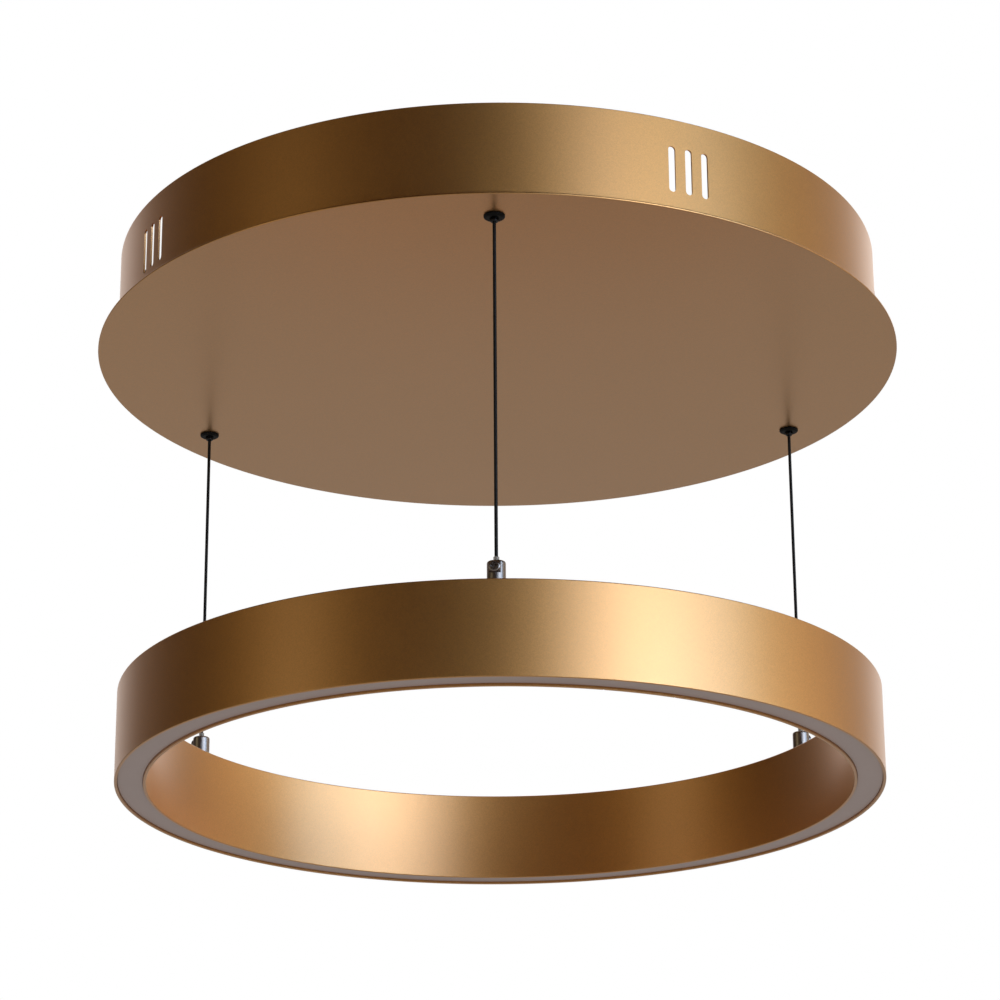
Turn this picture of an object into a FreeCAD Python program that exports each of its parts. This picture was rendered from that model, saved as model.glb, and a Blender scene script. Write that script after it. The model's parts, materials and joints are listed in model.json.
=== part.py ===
import FreeCAD
import Part
import Sketcher
import math
import os

from FreeCAD import Rotation, Vector

# A ring chandelier: a shallow round ceiling canopy and a rolled LED ring that hangs under it on three
# black suspension wires. Each wire passes a self-locking gripper in the canopy, so that the ring can be
# set higher or lower, and ends in a nickel fitting on the ring.
# Millimetres. +Z is up, and the origin is the centre of the canopy's rim on the ceiling.
# X is to the right and -Y to the front. The near wire is at the front, the other two at the back.

SIZES = {
    # canopy
    "canopy_height": (57.0, "ceiling to the underside of the canopy plate"),
    "plate_overhang": (11.0, "canopy plate past the drum"),
    "plate_thick": (1.2, "canopy plate"),
    "wire_inset": (14.0, "inside of the drum to the wires' axes"),
    "drum_wall": (1.0, "sheet of the drum"),
    "foot_width": (5.0, "drum's inward foot, spot-welded to the plate"),
    "slot_width": (4.0, "vent slot"),
    "slot_length": (26.0, "vent slot, over its round ends"),
    "slot_lift": (15.5, "underside of the plate to the slots' lower ends"),
    "slot_turn": (2.62, "degrees from one slot to the next in a group"),
    "group_turn": (88.0, "degrees from one group of slots to the next"),
    # ceiling strap
    "strap_width": (25.0, "steel strap"),
    "strap_thick": (2.0, "steel strap"),
    "strap_leg": (24.0, "bent end, over the strap's thickness"),
    "strap_bend": (3.0, "outer radius of the bends"),
    "strap_gap": (0.3, "between the bent ends and the drum"),
    "ceiling_slot_width": (5.0, "slots for the ceiling screws"),
    "ceiling_slot_length": (20.0, "slots for the ceiling screws"),
    "ceiling_slot_pitch": (120.0, "between the slots' centres"),
    "side_screw_dia": (4.0, "screws that hold the canopy to the strap"),
    "side_screw_drop": (14.0, "ceiling to the side screws"),
    "side_screw_length": (8.0, "under the head"),
    "side_head_dia": (7.5, "low head of a side screw"),
    "side_head_height": (1.4, "low head of a side screw"),
    # wire gripper
    "flange_dia": (11.0, "black flange under the plate"),
    "flange_thick": (1.6, "black flange"),
    "barrel_dia": (8.0, "gripper barrel, through the plate"),
    "barrel_height": (16.0, "from the underside of the plate"),
    "barrel_roof": (2.0, "closed top of the barrel"),
    "chamber_dia": (5.5, "barrel's bore at its foot"),
    "cone_dia": (6.6, "barrel's bore above its cone"),
    "cone_foot": (1.5, "start of the cone"),
    "cone_head": (8.0, "end of the cone"),
    "gripper_nut_flats": (12.0, "nut on the barrel"),
    "gripper_nut_height": (4.0, "nut on the barrel"),
    "nipple_dia": (4.1, "release nipple"),
    "nipple_show": (2.0, "nipple below the flange"),
    "nipple_bore": (2.2, "wire's way through the nipple"),
    "collar_dia": (5.2, "nipple's collar inside the barrel"),
    "collar_height": (1.15, "nipple's collar"),
    "jaw_height": (6.0, "clamping jaws"),
    "jaw_cut": (0.6, "saw cut between two jaws"),
    "spring_dia": (5.6, "outside of the gripper spring"),
    "spring_wire": (0.6, "gripper spring"),
    # suspension
    "wire_dia": (1.8, "black suspension wire"),
    "drop_height": (198.6, "underside of the plate to the top of the ring"),
    "sleeve_dia": (3.0, "clear sleeve at the wire's lower end"),
    "sleeve_length": (2.3, "clear sleeve"),
    "sleeve_gap": (0.3, "sleeve to fitting, for the wire to tilt"),
    "conductor_dia": (1.4, "stripped end of the wire"),
    "conductor_length": (8.0, "stripped end of the wire"),
    # ring
    "ring_dia": (415.0, "outside of the ring"),
    "ring_width": (17.0, "ring, across its profile"),
    "ring_height": (50.0, "ring"),
    "ring_wall": (1.6, "both walls of the profile"),
    "web_lift": (30.0, "lower edge of the ring to the web"),
    "web_thick": (2.0, "web between the walls"),
    "cover_thick": (1.4, "top cover"),
    "cover_recess": (0.3, "top cover below the walls' edges"),
    "cover_gap": (0.1, "cover and diffuser to the walls"),
    "diffuser_recess": (1.3, "opal diffuser above the walls' edges"),
    "diffuser_thick": (2.0, "opal diffuser"),
    "board_width": (9.0, "LED board"),
    "board_thick": (1.0, "LED board"),
    "board_gap": (2.0, "between the ends of the boards"),
    "led_length": (3.5, "LED"),
    "led_width": (2.8, "LED"),
    "led_height": (0.8, "LED"),
    "joiner_length": (40.0, "plate behind the butt joint of the rolled profile"),
    "joiner_width": (10.0, "joiner plate"),
    "joiner_thick": (3.0, "joiner plate"),
    # fitting
    "fitting_dia": (9.4, "nickel fitting on the ring"),
    "fitting_height": (11.2, "above the walls' edges"),
    "fitting_bore": (2.6, "for the stripped end of the wire"),
    "fitting_floor": (2.0, "left under the bore"),
    "stem_dia": (4.0, "fitting's threaded stem"),
    "clamp_lift": (7.6, "clamp screw above the walls' edges"),
    "clamp_dia": (3.0, "clamp screw"),
    "clamp_seat": (3.6, "fitting's axis to the seat of the clamp screw's head"),
    "clamp_head_dia": (6.2, "pan head"),
    "clamp_head_height": (2.0, "pan head"),
    "block_length": (22.0, "insulating block in the profile"),
    "block_gap": (0.2, "block to the walls and the cover"),
    "stem_nut_flats": (7.0, "nut on the stem"),
    "stem_nut_height": (3.2, "nut on the stem"),
    "feed_run": (24.0, "fitting's axis to the feed lead's hole in the web"),
    "feed_dia": (1.6, "feed lead"),
    "feed_bend": (4.0, "feed lead"),
    # canopy's inside
    "driver_length": (126.0, "driver's housing without its lugs"),
    "driver_lug": (12.0, "each lug"),
    "driver_width": (42.0, "driver"),
    "driver_height": (28.0, "driver"),
    "driver_base": (3.0, "driver's base"),
    "driver_round": (3.0, "driver's upper edges"),
    "driver_back": (76.0, "canopy's axis to the driver's, towards the back"),
    "driver_aside": (12.0, "canopy's axis to the driver's middle, towards the right"),
    "stud_dia": (3.0, "studs spot-welded on the plate"),
    "stud_height": (9.0, "studs"),
    "stud_nut_flats": (5.5, "nuts on the studs"),
    "stud_nut_height": (2.4, "nuts on the studs"),
    "block_wide": (30.0, "terminal block"),
    "block_deep": (18.0, "terminal block"),
    "block_high": (14.0, "terminal block"),
    "supply_run": (34.0, "terminal block to the driver's end"),
    "pole_width": (8.0, "one pole of the terminal block"),
    "pole_recess": (4.0, "notch between the poles"),
    "earth_run": (22.0, "terminal block to the earth stud"),
    "lug_dia": (8.0, "earth lug"),
    "lug_thick": (0.8, "earth lug"),
    "crimp_reach": (6.0, "earth stud to the middle of the lug's crimp"),
    "lead_dia": (1.8, "supply leads"),
    "lead_lift": (6.5, "supply leads above the plate"),
    "lead_space": (10.0, "between the supply leads at the driver"),
    "lead_bend": (8.0, "bends of the left output lead round the driver"),
    "lead_reach": (22.0, "left output lead past the driver's housing"),
    "output_lift": (15.0, "output leads above the plate"),
    "output_space": (16.0, "between the output leads at the driver"),
    "output_bend": (6.0, "bends of the output leads, down to the hanks"),
    "earth_bend": (4.0, "bend of the earth lead, down to its lug"),
    "output_back": (28.0, "driver's axis to the left output lead behind it"),
    "hank_length": (80.0, "hank of spare wire"),
    "hank_width": (15.0, "hank of spare wire"),
    "hank_height": (6.0, "hank of spare wire"),
    "hank_inset": (30.0, "wire's axis to the hank's middle line"),
    "tail_rise": (2.0, "wire's straight stretch above the gripper"),
    "tie_width": (3.0, "tie round a hank"),
    "tie_thick": (0.8, "tie round a hank"),
    # running gaps
    "slide_gap": (0.05, "round a piece that slides or turns in a bore"),
    "free_gap": (0.1, "round a piece that stays clear"),
}

# azimuth of each wire, seen from above, from +X towards +Y
HANGERS = {"near": -90.0, "right": 30.0, "left": 150.0}
SLOT_GROUPS = 4
SLOTS_PER_GROUP = 3
FIRST_SLOT_AZIMUTH = -62.0
BOARDS = 6
BOARD_SIDES = 24
LEDS_PER_BOARD = 8
JAWS = 3
JOINT_AZIMUTH = -68.5

# small rounds are made with this many flats
ROUND_SIDES = 12
CORE_SIDES = 8
TUBE_SIDES = 5

doc = FreeCAD.newDocument("RingChandelier")
sheet = doc.addObject("Spreadsheet::Sheet", "Sizes")
for row, (alias, (value, meaning)) in enumerate(SIZES.items(), start=1):
    sheet.set(f"A{row}", alias)
    sheet.set(f"B{row}", str(value))
    sheet.setAlias(f"B{row}", alias)
    sheet.set(f"C{row}", meaning)
doc.recompute()

sub_parts = []


class Length:
    """A size worked out from the sheet: its formula, which objects are bound to, and its value."""

    def __init__(self, text, value):
        self.text = text
        self.value = value

    def __add__(self, other):
        other = length(other)
        return Length(f"({self.text} + {other.text})", self.value + other.value)

    def __sub__(self, other):
        other = length(other)
        return Length(f"({self.text} - {other.text})", self.value - other.value)

    def __mul__(self, other):
        other = length(other)
        return Length(f"({self.text} * {other.text})", self.value * other.value)

    def __truediv__(self, other):
        other = length(other)
        return Length(f"({self.text} / {other.text})", self.value / other.value)

    def root(self):
        return Length(f"sqrt({self.text})", math.sqrt(self.value))

    def __neg__(self):
        return Length(f"(0 - {self.text})", -self.value)

    def __radd__(self, other):
        return length(other) + self

    def __rsub__(self, other):
        return length(other) - self


def length(value):
    """A plain number as a Length."""
    return value if isinstance(value, Length) else Length(f"{float(value):.9f}", float(value))


def size(alias):
    """A driving dimension of the sheet."""
    return Length("Sizes." + alias, float(sheet.get(alias)))


def bind(obj, name, value):
    obj.setExpression(name, length(value).text)


def place(obj, x=0.0, y=0.0, z=0.0, rotation=None):
    """Puts an object at (x, y, z), each worked out from the sheet."""
    base = Vector(*(length(v).value for v in (x, y, z)))
    obj.Placement = FreeCAD.Placement(base, rotation or Rotation())
    for axis, value in zip("xyz", (x, y, z)):
        if isinstance(value, Length):
            bind(obj, "Placement.Base." + axis, value)
    return obj


def turned(azimuth):
    return Rotation(Vector(0, 0, 1), azimuth)


def along(axis):
    """Turns a piece that stands on Z so that it points along +X, -X or +Y."""
    return {"+X": Rotation(Vector(0, 1, 0), 90), "-X": Rotation(Vector(0, 1, 0), -90),
            "+Y": Rotation(Vector(1, 0, 0), -90)}[axis]


def sub_part(obj, label):
    """Names a finished sub-part."""
    obj.Label = label
    sub_parts.append(obj)
    return obj


# ---- the shapes that pieces are made of ----

def plane_of(body, role):
    return next(f for f in body.Origin.OriginFeatures if f.Role == role)


def outline_sketch(body, role, points):
    """A closed outline of straight lines, with each corner held from the sketch's own origin."""
    sketch = body.newObject("Sketcher::SketchObject", "outline")
    sketch.AttachmentSupport = [(plane_of(body, role), "")]
    sketch.MapMode = "FlatFace"
    corners = [Vector(length(x).value, length(y).value, 0) for x, y in points]
    count = len(corners)
    sketch.addGeometry([Part.LineSegment(corners[i], corners[(i + 1) % count])
                        for i in range(count)])
    for i in range(count):
        sketch.addConstraint(Sketcher.Constraint("Coincident", i, 2, (i + 1) % count, 1))
    for i, point in enumerate(points):
        for kind, axis, value in (("DistanceX", -2, point[0]), ("DistanceY", -1, point[1])):
            value = length(value)
            if abs(value.value) < 1e-9:
                sketch.addConstraint(Sketcher.Constraint("PointOnObject", i, 1, axis))
            else:
                held = sketch.addConstraint(
                    Sketcher.Constraint(kind, -1, 1, i, 1, value.value))
                bind(sketch, f"Constraints[{held}]", value)
    return sketch


def revolved(name, points):
    """A body turned about its own Z axis from an outline of (radius, height) corners."""
    body = doc.addObject("PartDesign::Body", name)
    sketch = outline_sketch(body, "XZ_Plane", points)
    revolution = body.newObject("PartDesign::Revolution", "turned")
    revolution.Profile = sketch
    revolution.ReferenceAxis = (sketch, ["V_Axis"])
    body.Tip = revolution
    return body


def padded(name, role, points, depth):
    """A body pushed out evenly to both sides of a plane from an outline."""
    body = doc.addObject("PartDesign::Body", name)
    sketch = outline_sketch(body, role, points)
    pad = body.newObject("PartDesign::Pad", "pushed")
    pad.Profile = sketch
    pad.SideType = "Symmetric"
    bind(pad, "Length", depth)
    body.Tip = pad
    return body


def repeated(body, feature, sketch, count):
    """Repeats a feature all round the body's Z axis."""
    pattern = body.newObject("PartDesign::PolarPattern", "repeated")
    pattern.Originals = [feature]
    pattern.Axis = (sketch, ["N_Axis"])
    pattern.Occurrences = count
    pattern.Angle = 360.0
    body.Tip = pattern
    return pattern


def cylinder(name, radius, height, x=0.0, y=0.0, z=0.0, rotation=None, angle=None):
    made = doc.addObject("Part::Cylinder", name)
    bind(made, "Radius", radius)
    bind(made, "Height", height)
    if angle is not None:
        bind(made, "Angle", angle)
    return place(made, x, y, z, rotation)


def block(name, wide, deep, high, x=0.0, y=0.0, z=0.0, rotation=None):
    """A box whose place is the middle of its lower face."""
    made = doc.addObject("Part::Box", name)
    for side, value in zip(("Length", "Width", "Height"), (wide, deep, high)):
        bind(made, side, value)
    return place(made, length(x) - length(wide) / 2, length(y) - length(deep) / 2, z, rotation)


def prism(name, sides, radius, height, x=0.0, y=0.0, z=0.0, rotation=None):
    """A prism whose corners lie on the radius."""
    made = doc.addObject("Part::Prism", name)
    made.Polygon = sides
    bind(made, "Circumradius", radius)
    bind(made, "Height", height)
    return place(made, x, y, z, rotation)


def bore(name, sides, radius, height, x=0.0, y=0.0, z=0.0, rotation=None):
    """A prism whose flats lie on the radius, so that a round piece passes through what it cuts."""
    return prism(name, sides, length(radius) / math.cos(math.pi / sides), height, x, y, z, rotation)


def taper(name, foot_radius, head_radius, foot, head):
    """A cone of flat sides between two levels."""
    rings = []
    for end, radius, level in (("foot", foot_radius, foot), ("head", head_radius, head)):
        ring = doc.addObject("Part::RegularPolygon", f"{name}_{end}")
        ring.Polygon = CORE_SIDES
        bind(ring, "Circumradius", radius)
        rings.append(place(ring, z=level))
    made = doc.addObject("Part::Loft", name)
    made.Sections = rings
    made.Solid = True
    made.Ruled = True
    return made


def nut(name, flats, height, way):
    """A hexagon nut, from its width across the flats."""
    body = prism(name + "_hexagon", 6, length(flats) / math.sqrt(3), height)
    return cut(name, body, bore(name + "_way", CORE_SIDES, way, height))


def fused(name, *pieces):
    made = doc.addObject("Part::MultiFuse", name)
    made.Shapes = list(pieces)
    return made


def cut(name, base, *tools):
    made = doc.addObject("Part::Cut", name)
    made.Base = base
    made.Tool = tools[0] if len(tools) == 1 else group(name + "_tools", tools)
    return made


def group(name, pieces):
    """Separate solids that share one node."""
    made = doc.addObject("Part::Compound", name)
    made.Links = list(pieces)
    return made


def slot_shape(name, slot_length, slot_width, depth, flats=None):
    """A round-ended bar along X, in the middle of its lower face. Small ends can have flats."""
    straight, radius = length(slot_length) - slot_width, length(slot_width) / 2
    ends = []
    for side in (-1, 1):
        x = straight * (side / 2)
        if flats:
            ends.append(prism(f"{name}_end_{side}", flats, radius, depth, x))
        else:
            ends.append(cylinder(f"{name}_end_{side}", radius, depth, x))
    return fused(name, block(name + "_middle", straight, slot_width, depth), *ends)


def tube(name, points, bends, dia):
    """A wire of flat sides along straight runs joined by tangent arcs."""
    corners = [Vector(*(length(v).value for v in p)) for p in points]
    edges = []
    start = corners[0]
    for before, corner, after, bend in zip(corners, corners[1:], corners[2:], bends):
        back = (before - corner).normalize()
        ahead = (after - corner).normalize()
        half_turn = (math.pi - back.getAngle(ahead)) / 2
        radius = length(bend).value
        reach = radius * math.tan(half_turn)
        middle = (back + ahead).normalize() * (radius / math.cos(half_turn) - radius)
        enter, leave = corner + back * reach, corner + ahead * reach
        if (enter - start).Length > 1e-6:
            edges.append(Part.LineSegment(start, enter).toShape())
        edges.append(Part.Arc(enter, corner + middle, leave).toShape())
        start = leave
    edges.append(Part.LineSegment(start, corners[-1]).toShape())
    direction = (corners[1] - corners[0]).normalize()
    aside = Vector(1, 0, 0) if abs(direction.z) > abs(direction.x) else Vector(0, 0, 1)
    across = direction.cross(aside).normalize() * (length(dia).value / 2)
    ring = [corners[0] + Rotation(direction, 360.0 * i / TUBE_SIDES).multVec(across)
            for i in range(TUBE_SIDES + 1)]
    section = Part.makePolygon(ring)
    made = doc.addObject("Part::Feature", name)
    made.Shape = Part.Wire(edges).makePipeShell([section], True, False)
    return made


# ---- levels and radii that several pieces share ----

plate_under = -size("canopy_height")
plate_top = plate_under + size("plate_thick")
hang_radius = (size("ring_dia") - size("ring_width")) / 2
drum_inner = hang_radius + size("wire_inset")
drum_outer = drum_inner + size("drum_wall")
plate_radius = drum_outer + size("plate_overhang")
ring_top = plate_under - size("drop_height")
ring_foot = ring_top - size("ring_height")
fitting_top = ring_top + size("fitting_height")
flange_under = plate_under - size("flange_thick")
wire_mouth = flange_under - size("nipple_show")
wire_radius = size("wire_dia") / 2
channel_inner = size("ring_dia") / 2 - size("ring_width") + size("ring_wall")
channel_outer = size("ring_dia") / 2 - size("ring_wall")
web_under = ring_foot + size("web_lift")
web_top = web_under + size("web_thick")
cover_top = ring_top - size("cover_recess")
cover_under = cover_top - size("cover_thick")


def hung(obj, azimuth, z):
    """Puts a piece on a wire's axis, with its own +X pointing outwards from the canopy's middle."""
    x = hang_radius * math.cos(math.radians(azimuth))
    y = hang_radius * math.sin(math.radians(azimuth))
    return place(obj, x, y, z, turned(azimuth))


def at_each_hanger(label, make, z):
    """The same piece at the three wires, as one node of three solids."""
    return sub_part(group(label, [hung(make(f"{label}_{name}"), azimuth, z)
                                  for name, azimuth in HANGERS.items()]), label)


# ---- canopy ----

def canopy_plate():
    plate = cylinder("plate_disc", plate_radius, size("plate_thick"), z=plate_under)
    holes = [hung(bore(f"plate_hole_{name}", CORE_SIDES, size("barrel_dia") / 2
                       + size("free_gap"), size("plate_thick")), azimuth, plate_under)
             for name, azimuth in HANGERS.items()]
    sub_part(cut("canopy_plate", plate, *holes), "canopy_plate")


def canopy_drum():
    """A rolled wall with a foot, the vent slots in groups of three, and a hole at each side."""
    height = size("canopy_height") - size("plate_thick")
    foot = drum_inner - size("foot_width")
    wall = size("drum_wall")
    body = revolved("drum_body", [(foot, 0), (drum_outer, 0), (drum_outer, height),
                                  (drum_inner, height), (drum_inner, wall), (foot, wall)])
    slots = []
    for number in range(SLOT_GROUPS * SLOTS_PER_GROUP):
        group_number, place_in_group = divmod(number, SLOTS_PER_GROUP)
        azimuth = (FIRST_SLOT_AZIMUTH - size("group_turn").value * group_number
                   + size("slot_turn").value * (place_in_group - (SLOTS_PER_GROUP - 1) / 2))
        slot = slot_shape(f"slot_{number}", size("slot_length"), size("slot_width"), plate_radius - foot,
                          CORE_SIDES)
        slots.append(place(slot, foot * math.cos(math.radians(azimuth)),
                           foot * math.sin(math.radians(azimuth)),
                           plate_under + size("slot_lift") + size("slot_length") / 2,
                           turned(azimuth).multiply(along("+X"))))
    screw_way = bore("side_screw_way", CORE_SIDES, size("side_screw_dia") / 2 + size("free_gap"),
                     plate_radius * 2, -plate_radius, 0.0, -size("side_screw_drop"), along("+X"))
    place(body, z=plate_top)
    sub_part(cut("canopy_drum", body, *slots, screw_way), "canopy_drum")


def ceiling_strap():
    """A steel strap across the canopy, with bent ends that take the side screws."""
    corner = size("strap_width") / 2
    half = (drum_inner * drum_inner - corner * corner).root() - size("strap_gap")
    full, thick, leg = half * 2, size("strap_thick"), size("strap_leg")
    body = padded("strap_body", "XZ_Plane",
                  [(0, 0), (thick, 0), (thick, leg - thick), (full - thick, leg - thick),
                   (full - thick, 0), (full, 0), (full, leg), (0, leg)], size("strap_width"))
    doc.recompute()
    pushed = body.Tip
    corners = [f"Edge{i}" for i, edge in enumerate(pushed.Shape.Edges, start=1)
               if abs(edge.CenterOfMass.z - leg.value) < 1e-6 and abs(edge.CenterOfMass.y) < 1e-6
               and abs(edge.CenterOfMass.x - full.value / 2) > full.value / 2 - 1e-6]
    bend = body.newObject("PartDesign::Fillet", "bends")
    bend.Base = (pushed, corners)
    bind(bend, "Radius", size("strap_bend"))
    body.Tip = bend
    place(body, x=-half, z=-leg)
    slots = [place(slot_shape(f"ceiling_slot_{side}", size("ceiling_slot_length"),
                              size("ceiling_slot_width"), thick),
                   x=size("ceiling_slot_pitch") * (side / 2), z=-thick) for side in (-1, 1)]
    screw_way = bore("strap_screw_way", CORE_SIDES, size("side_screw_dia") / 2, full, -half, 0.0,
                     -size("side_screw_drop"), along("+X"))
    sub_part(cut("ceiling_strap", body, *slots, screw_way), "ceiling_strap")


def side_screws():
    """Two low-headed screws through the drum into the strap's bent ends."""
    made = []
    for name, side, outwards in (("right", 1, "+X"), ("left", -1, "-X")):
        shank_radius = size("side_screw_dia") / 2 - size("slide_gap")
        tip = drum_outer - size("side_screw_length")
        made.append(fused(
            f"side_screw_{name}",
            prism(f"side_head_{name}", ROUND_SIDES, size("side_head_dia") / 2,
                  size("side_head_height"), drum_outer * side, 0.0, -size("side_screw_drop"),
                  along(outwards)),
            prism(f"side_shank_{name}", CORE_SIDES, shank_radius, size("side_screw_length"),
                  tip * side, 0.0, -size("side_screw_drop"), along(outwards))))
    sub_part(group("side_screws", made), "side_screws")


# ---- wire grippers ----

def gripper_barrel(name):
    """A barrel with a conical bore that narrows downwards, so that the load wedges the jaws."""
    foot, head = size("chamber_dia") / 2, size("cone_dia") / 2
    ceiling = size("barrel_height") - size("barrel_roof")
    body = prism(name + "_body", CORE_SIDES, size("barrel_dia") / 2, size("barrel_height"))
    chamber = fused(
        name + "_chamber",
        prism(name + "_foot", CORE_SIDES, foot, size("cone_foot")),
        taper(name + "_cone", foot, head, size("cone_foot"), size("cone_head")),
        prism(name + "_head", CORE_SIDES, head, ceiling - size("cone_head"),
              z=size("cone_head")))
    way = bore(name + "_way", CORE_SIDES, size("nipple_bore") / 2, size("barrel_height"))
    return cut(name, body, chamber, way)


def gripper_flange(name):
    body = prism(name + "_body", ROUND_SIDES, size("flange_dia") / 2, size("flange_thick"))
    way = bore(name + "_way", CORE_SIDES, size("nipple_dia") / 2 + size("slide_gap"),
               size("flange_thick"))
    return cut(name, body, way)


def gripper_nut(name):
    return nut(name, size("gripper_nut_flats"), size("gripper_nut_height"), size("barrel_dia") / 2)


def release_nipple(label, azimuth):
    """A tube that shows under the flange. Pushed up, its collar lifts the jaws off their cone."""
    step = size("nipple_show") + size("flange_thick") + size("slide_gap")
    head = step + size("collar_height")
    body = fused(
        label + "_body",
        prism(label + "_shank", CORE_SIDES, size("nipple_dia") / 2, head),
        prism(label + "_collar", CORE_SIDES, size("collar_dia") / 2, size("collar_height"),
              z=step))
    way = bore(label + "_way", CORE_SIDES, size("nipple_bore") / 2, head)
    sub_part(hung(cut(label, body, way), azimuth, wire_mouth), label)


# how far the jaws and the spring stand above the underside of the plate
jaw_foot = size("collar_height") + size("slide_gap") * 2
jaw_head = jaw_foot + size("jaw_height")
cone_slope = ((size("cone_dia") - size("chamber_dia")) / 2
              / (size("cone_head") - size("cone_foot")))


def grip_jaws(label, azimuth):
    """Jaws round the wire, with the cone's taper on their backs and a saw cut between them."""
    back = size("chamber_dia") / 2 - size("free_gap")
    body = taper(label + "_cone", back, back + size("jaw_height") * cone_slope, length(0),
                 size("jaw_height"))
    way = bore(label + "_way", CORE_SIDES, wire_radius + size("free_gap"), size("jaw_height"))
    saw_cuts = []
    for number in range(JAWS):
        saw = block(f"{label}_saw_{number}", size("cone_dia"), size("jaw_cut"),
                    size("jaw_height"), x=size("cone_dia") / 2)
        saw_cuts.append(place(group(f"{label}_saw_at_{number}", [saw]),
                              rotation=turned(360.0 / JAWS * (number + 0.5))))
    sub_part(hung(cut(label, body, way, *saw_cuts), azimuth, plate_under + jaw_foot), label)


def grip_spring(label, azimuth):
    """The spring that presses the jaws into the cone, as the sleeve that its turns fill."""
    outer = size("spring_dia") / 2
    height = size("barrel_height") - size("barrel_roof") - jaw_head - size("free_gap") * 2
    body = prism(label + "_body", CORE_SIDES, outer, height)
    way = bore(label + "_way", CORE_SIDES, outer - size("spring_wire"), height)
    sub_part(hung(cut(label, body, way), azimuth, plate_under + jaw_head + size("free_gap")),
             label)


# ---- suspension ----

def suspension_wire(label, azimuth):
    """The hanging stretch of a wire, from the nipple's mouth to the fitting's top."""
    wire = prism(label, ROUND_SIDES, wire_radius, wire_mouth - fitting_top)
    sub_part(hung(wire, azimuth, fitting_top), label)


def wire_sleeve(label, azimuth):
    body = prism(label + "_body", ROUND_SIDES, size("sleeve_dia") / 2, size("sleeve_length"))
    way = bore(label + "_way", CORE_SIDES, wire_radius + size("slide_gap"),
               size("sleeve_length"))
    sub_part(hung(cut(label, body, way), azimuth, fitting_top + size("sleeve_gap")), label)


def wire_tail(name):
    """The wire through the gripper and over in one bend to its hank of spare wire."""
    inset = -size("hank_inset")
    bend = size("hank_inset") / 2
    crest = plate_under + size("barrel_height") + size("tail_rise") + bend - wire_mouth
    landing = plate_top + size("hank_height") - wire_mouth
    return tube(name, [(0, 0, 0), (0, 0, crest), (inset, 0, crest), (inset, 0, landing)],
                [bend, bend], size("wire_dia"))


def spare_hank(name):
    """The outer shape of the spare wire, folded into a flat hank along the drum."""
    hank = slot_shape(name, size("hank_length"), size("hank_width"), size("hank_height"),
                      CORE_SIDES)
    place(hank, x=-size("hank_inset"), rotation=turned(90.0))
    return group(name + "_lying", [hank])


def hank_tie(name):
    wide = size("hank_width") + size("free_gap") * 2
    high = size("hank_height") + size("free_gap")
    band = block(name + "_band", wide + size("tie_thick") * 2, size("tie_width"),
                 high + size("tie_thick"), x=-size("hank_inset"), y=size("hank_length") / 4)
    inside = block(name + "_inside", wide, size("tie_width"), high, x=-size("hank_inset"),
                   y=size("hank_length") / 4)
    return cut(name, band, inside)


# ---- canopy's inside ----

driver_x, driver_y = size("driver_aside"), size("driver_back")
driver_side = size("driver_length") / 2
lug_side = driver_side + size("driver_lug") / 2
terminal_x = driver_x - driver_side - size("supply_run") - size("block_deep") / 2
terminal_front = driver_y - size("block_wide") / 2
earth_y = terminal_front - size("earth_run")


def driver_base():
    """The driver's base, with a lug and a hole at each end."""
    base = block("driver_tray", size("driver_length") + size("driver_lug") * 2,
                 size("driver_width") / 2, size("driver_base"), driver_x, driver_y, plate_top)
    middle = block("driver_floor", size("driver_length"), size("driver_width"),
                   size("driver_base"), driver_x, driver_y, plate_top)
    holes = [bore(f"driver_hole_{side}", CORE_SIDES, size("stud_dia") / 2 + size("free_gap"),
                  size("driver_base"), driver_x + lug_side * side, driver_y, plate_top)
             for side in (-1, 1)]
    sub_part(cut("driver_base", fused("driver_tray_whole", base, middle), *holes), "driver_base")


def driver_lid():
    """The driver's cover, with rounded upper edges. It is potted, so it is solid."""
    high = size("driver_height") - size("driver_base")
    body = padded("driver_lid_body", "XZ_Plane",
                  [(0, 0), (size("driver_length"), 0), (size("driver_length"), high), (0, high)],
                  size("driver_width"))
    doc.recompute()
    pushed = body.Tip
    upper = [f"Edge{i}" for i, edge in enumerate(pushed.Shape.Edges, start=1)
             if abs(edge.CenterOfMass.z - high.value) < 1e-6
             and abs(edge.CenterOfMass.x - driver_side.value) < 1e-6]
    round_edges = body.newObject("PartDesign::Fillet", "rounded")
    round_edges.Base = (pushed, upper)
    bind(round_edges, "Radius", size("driver_round"))
    body.Tip = round_edges
    place(body, x=driver_x - driver_side, y=driver_y, z=plate_top + size("driver_base"))
    sub_part(body, "driver_lid")


def stud_places():
    """Where the studs stand: two for the driver and one for the earth."""
    return ((driver_x + lug_side, driver_y), (driver_x - lug_side, driver_y),
            (terminal_x, earth_y))


def plate_studs():
    sub_part(group("plate_studs", [prism(f"stud_{i}", CORE_SIDES, size("stud_dia") / 2,
                                         size("stud_height"), x, y, plate_top)
                                   for i, (x, y) in enumerate(stud_places())]), "plate_studs")


def stud_nuts():
    seats = (size("driver_base"), size("driver_base"), size("lug_thick"))
    made = []
    for i, ((x, y), seat) in enumerate(zip(stud_places(), seats)):
        piece = nut(f"stud_nut_{i}", size("stud_nut_flats"), size("stud_nut_height"),
                    size("stud_dia") / 2 + size("slide_gap"))
        made.append(place(piece, x, y, plate_top + seat))
    sub_part(group("stud_nuts", made), "stud_nuts")


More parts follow.
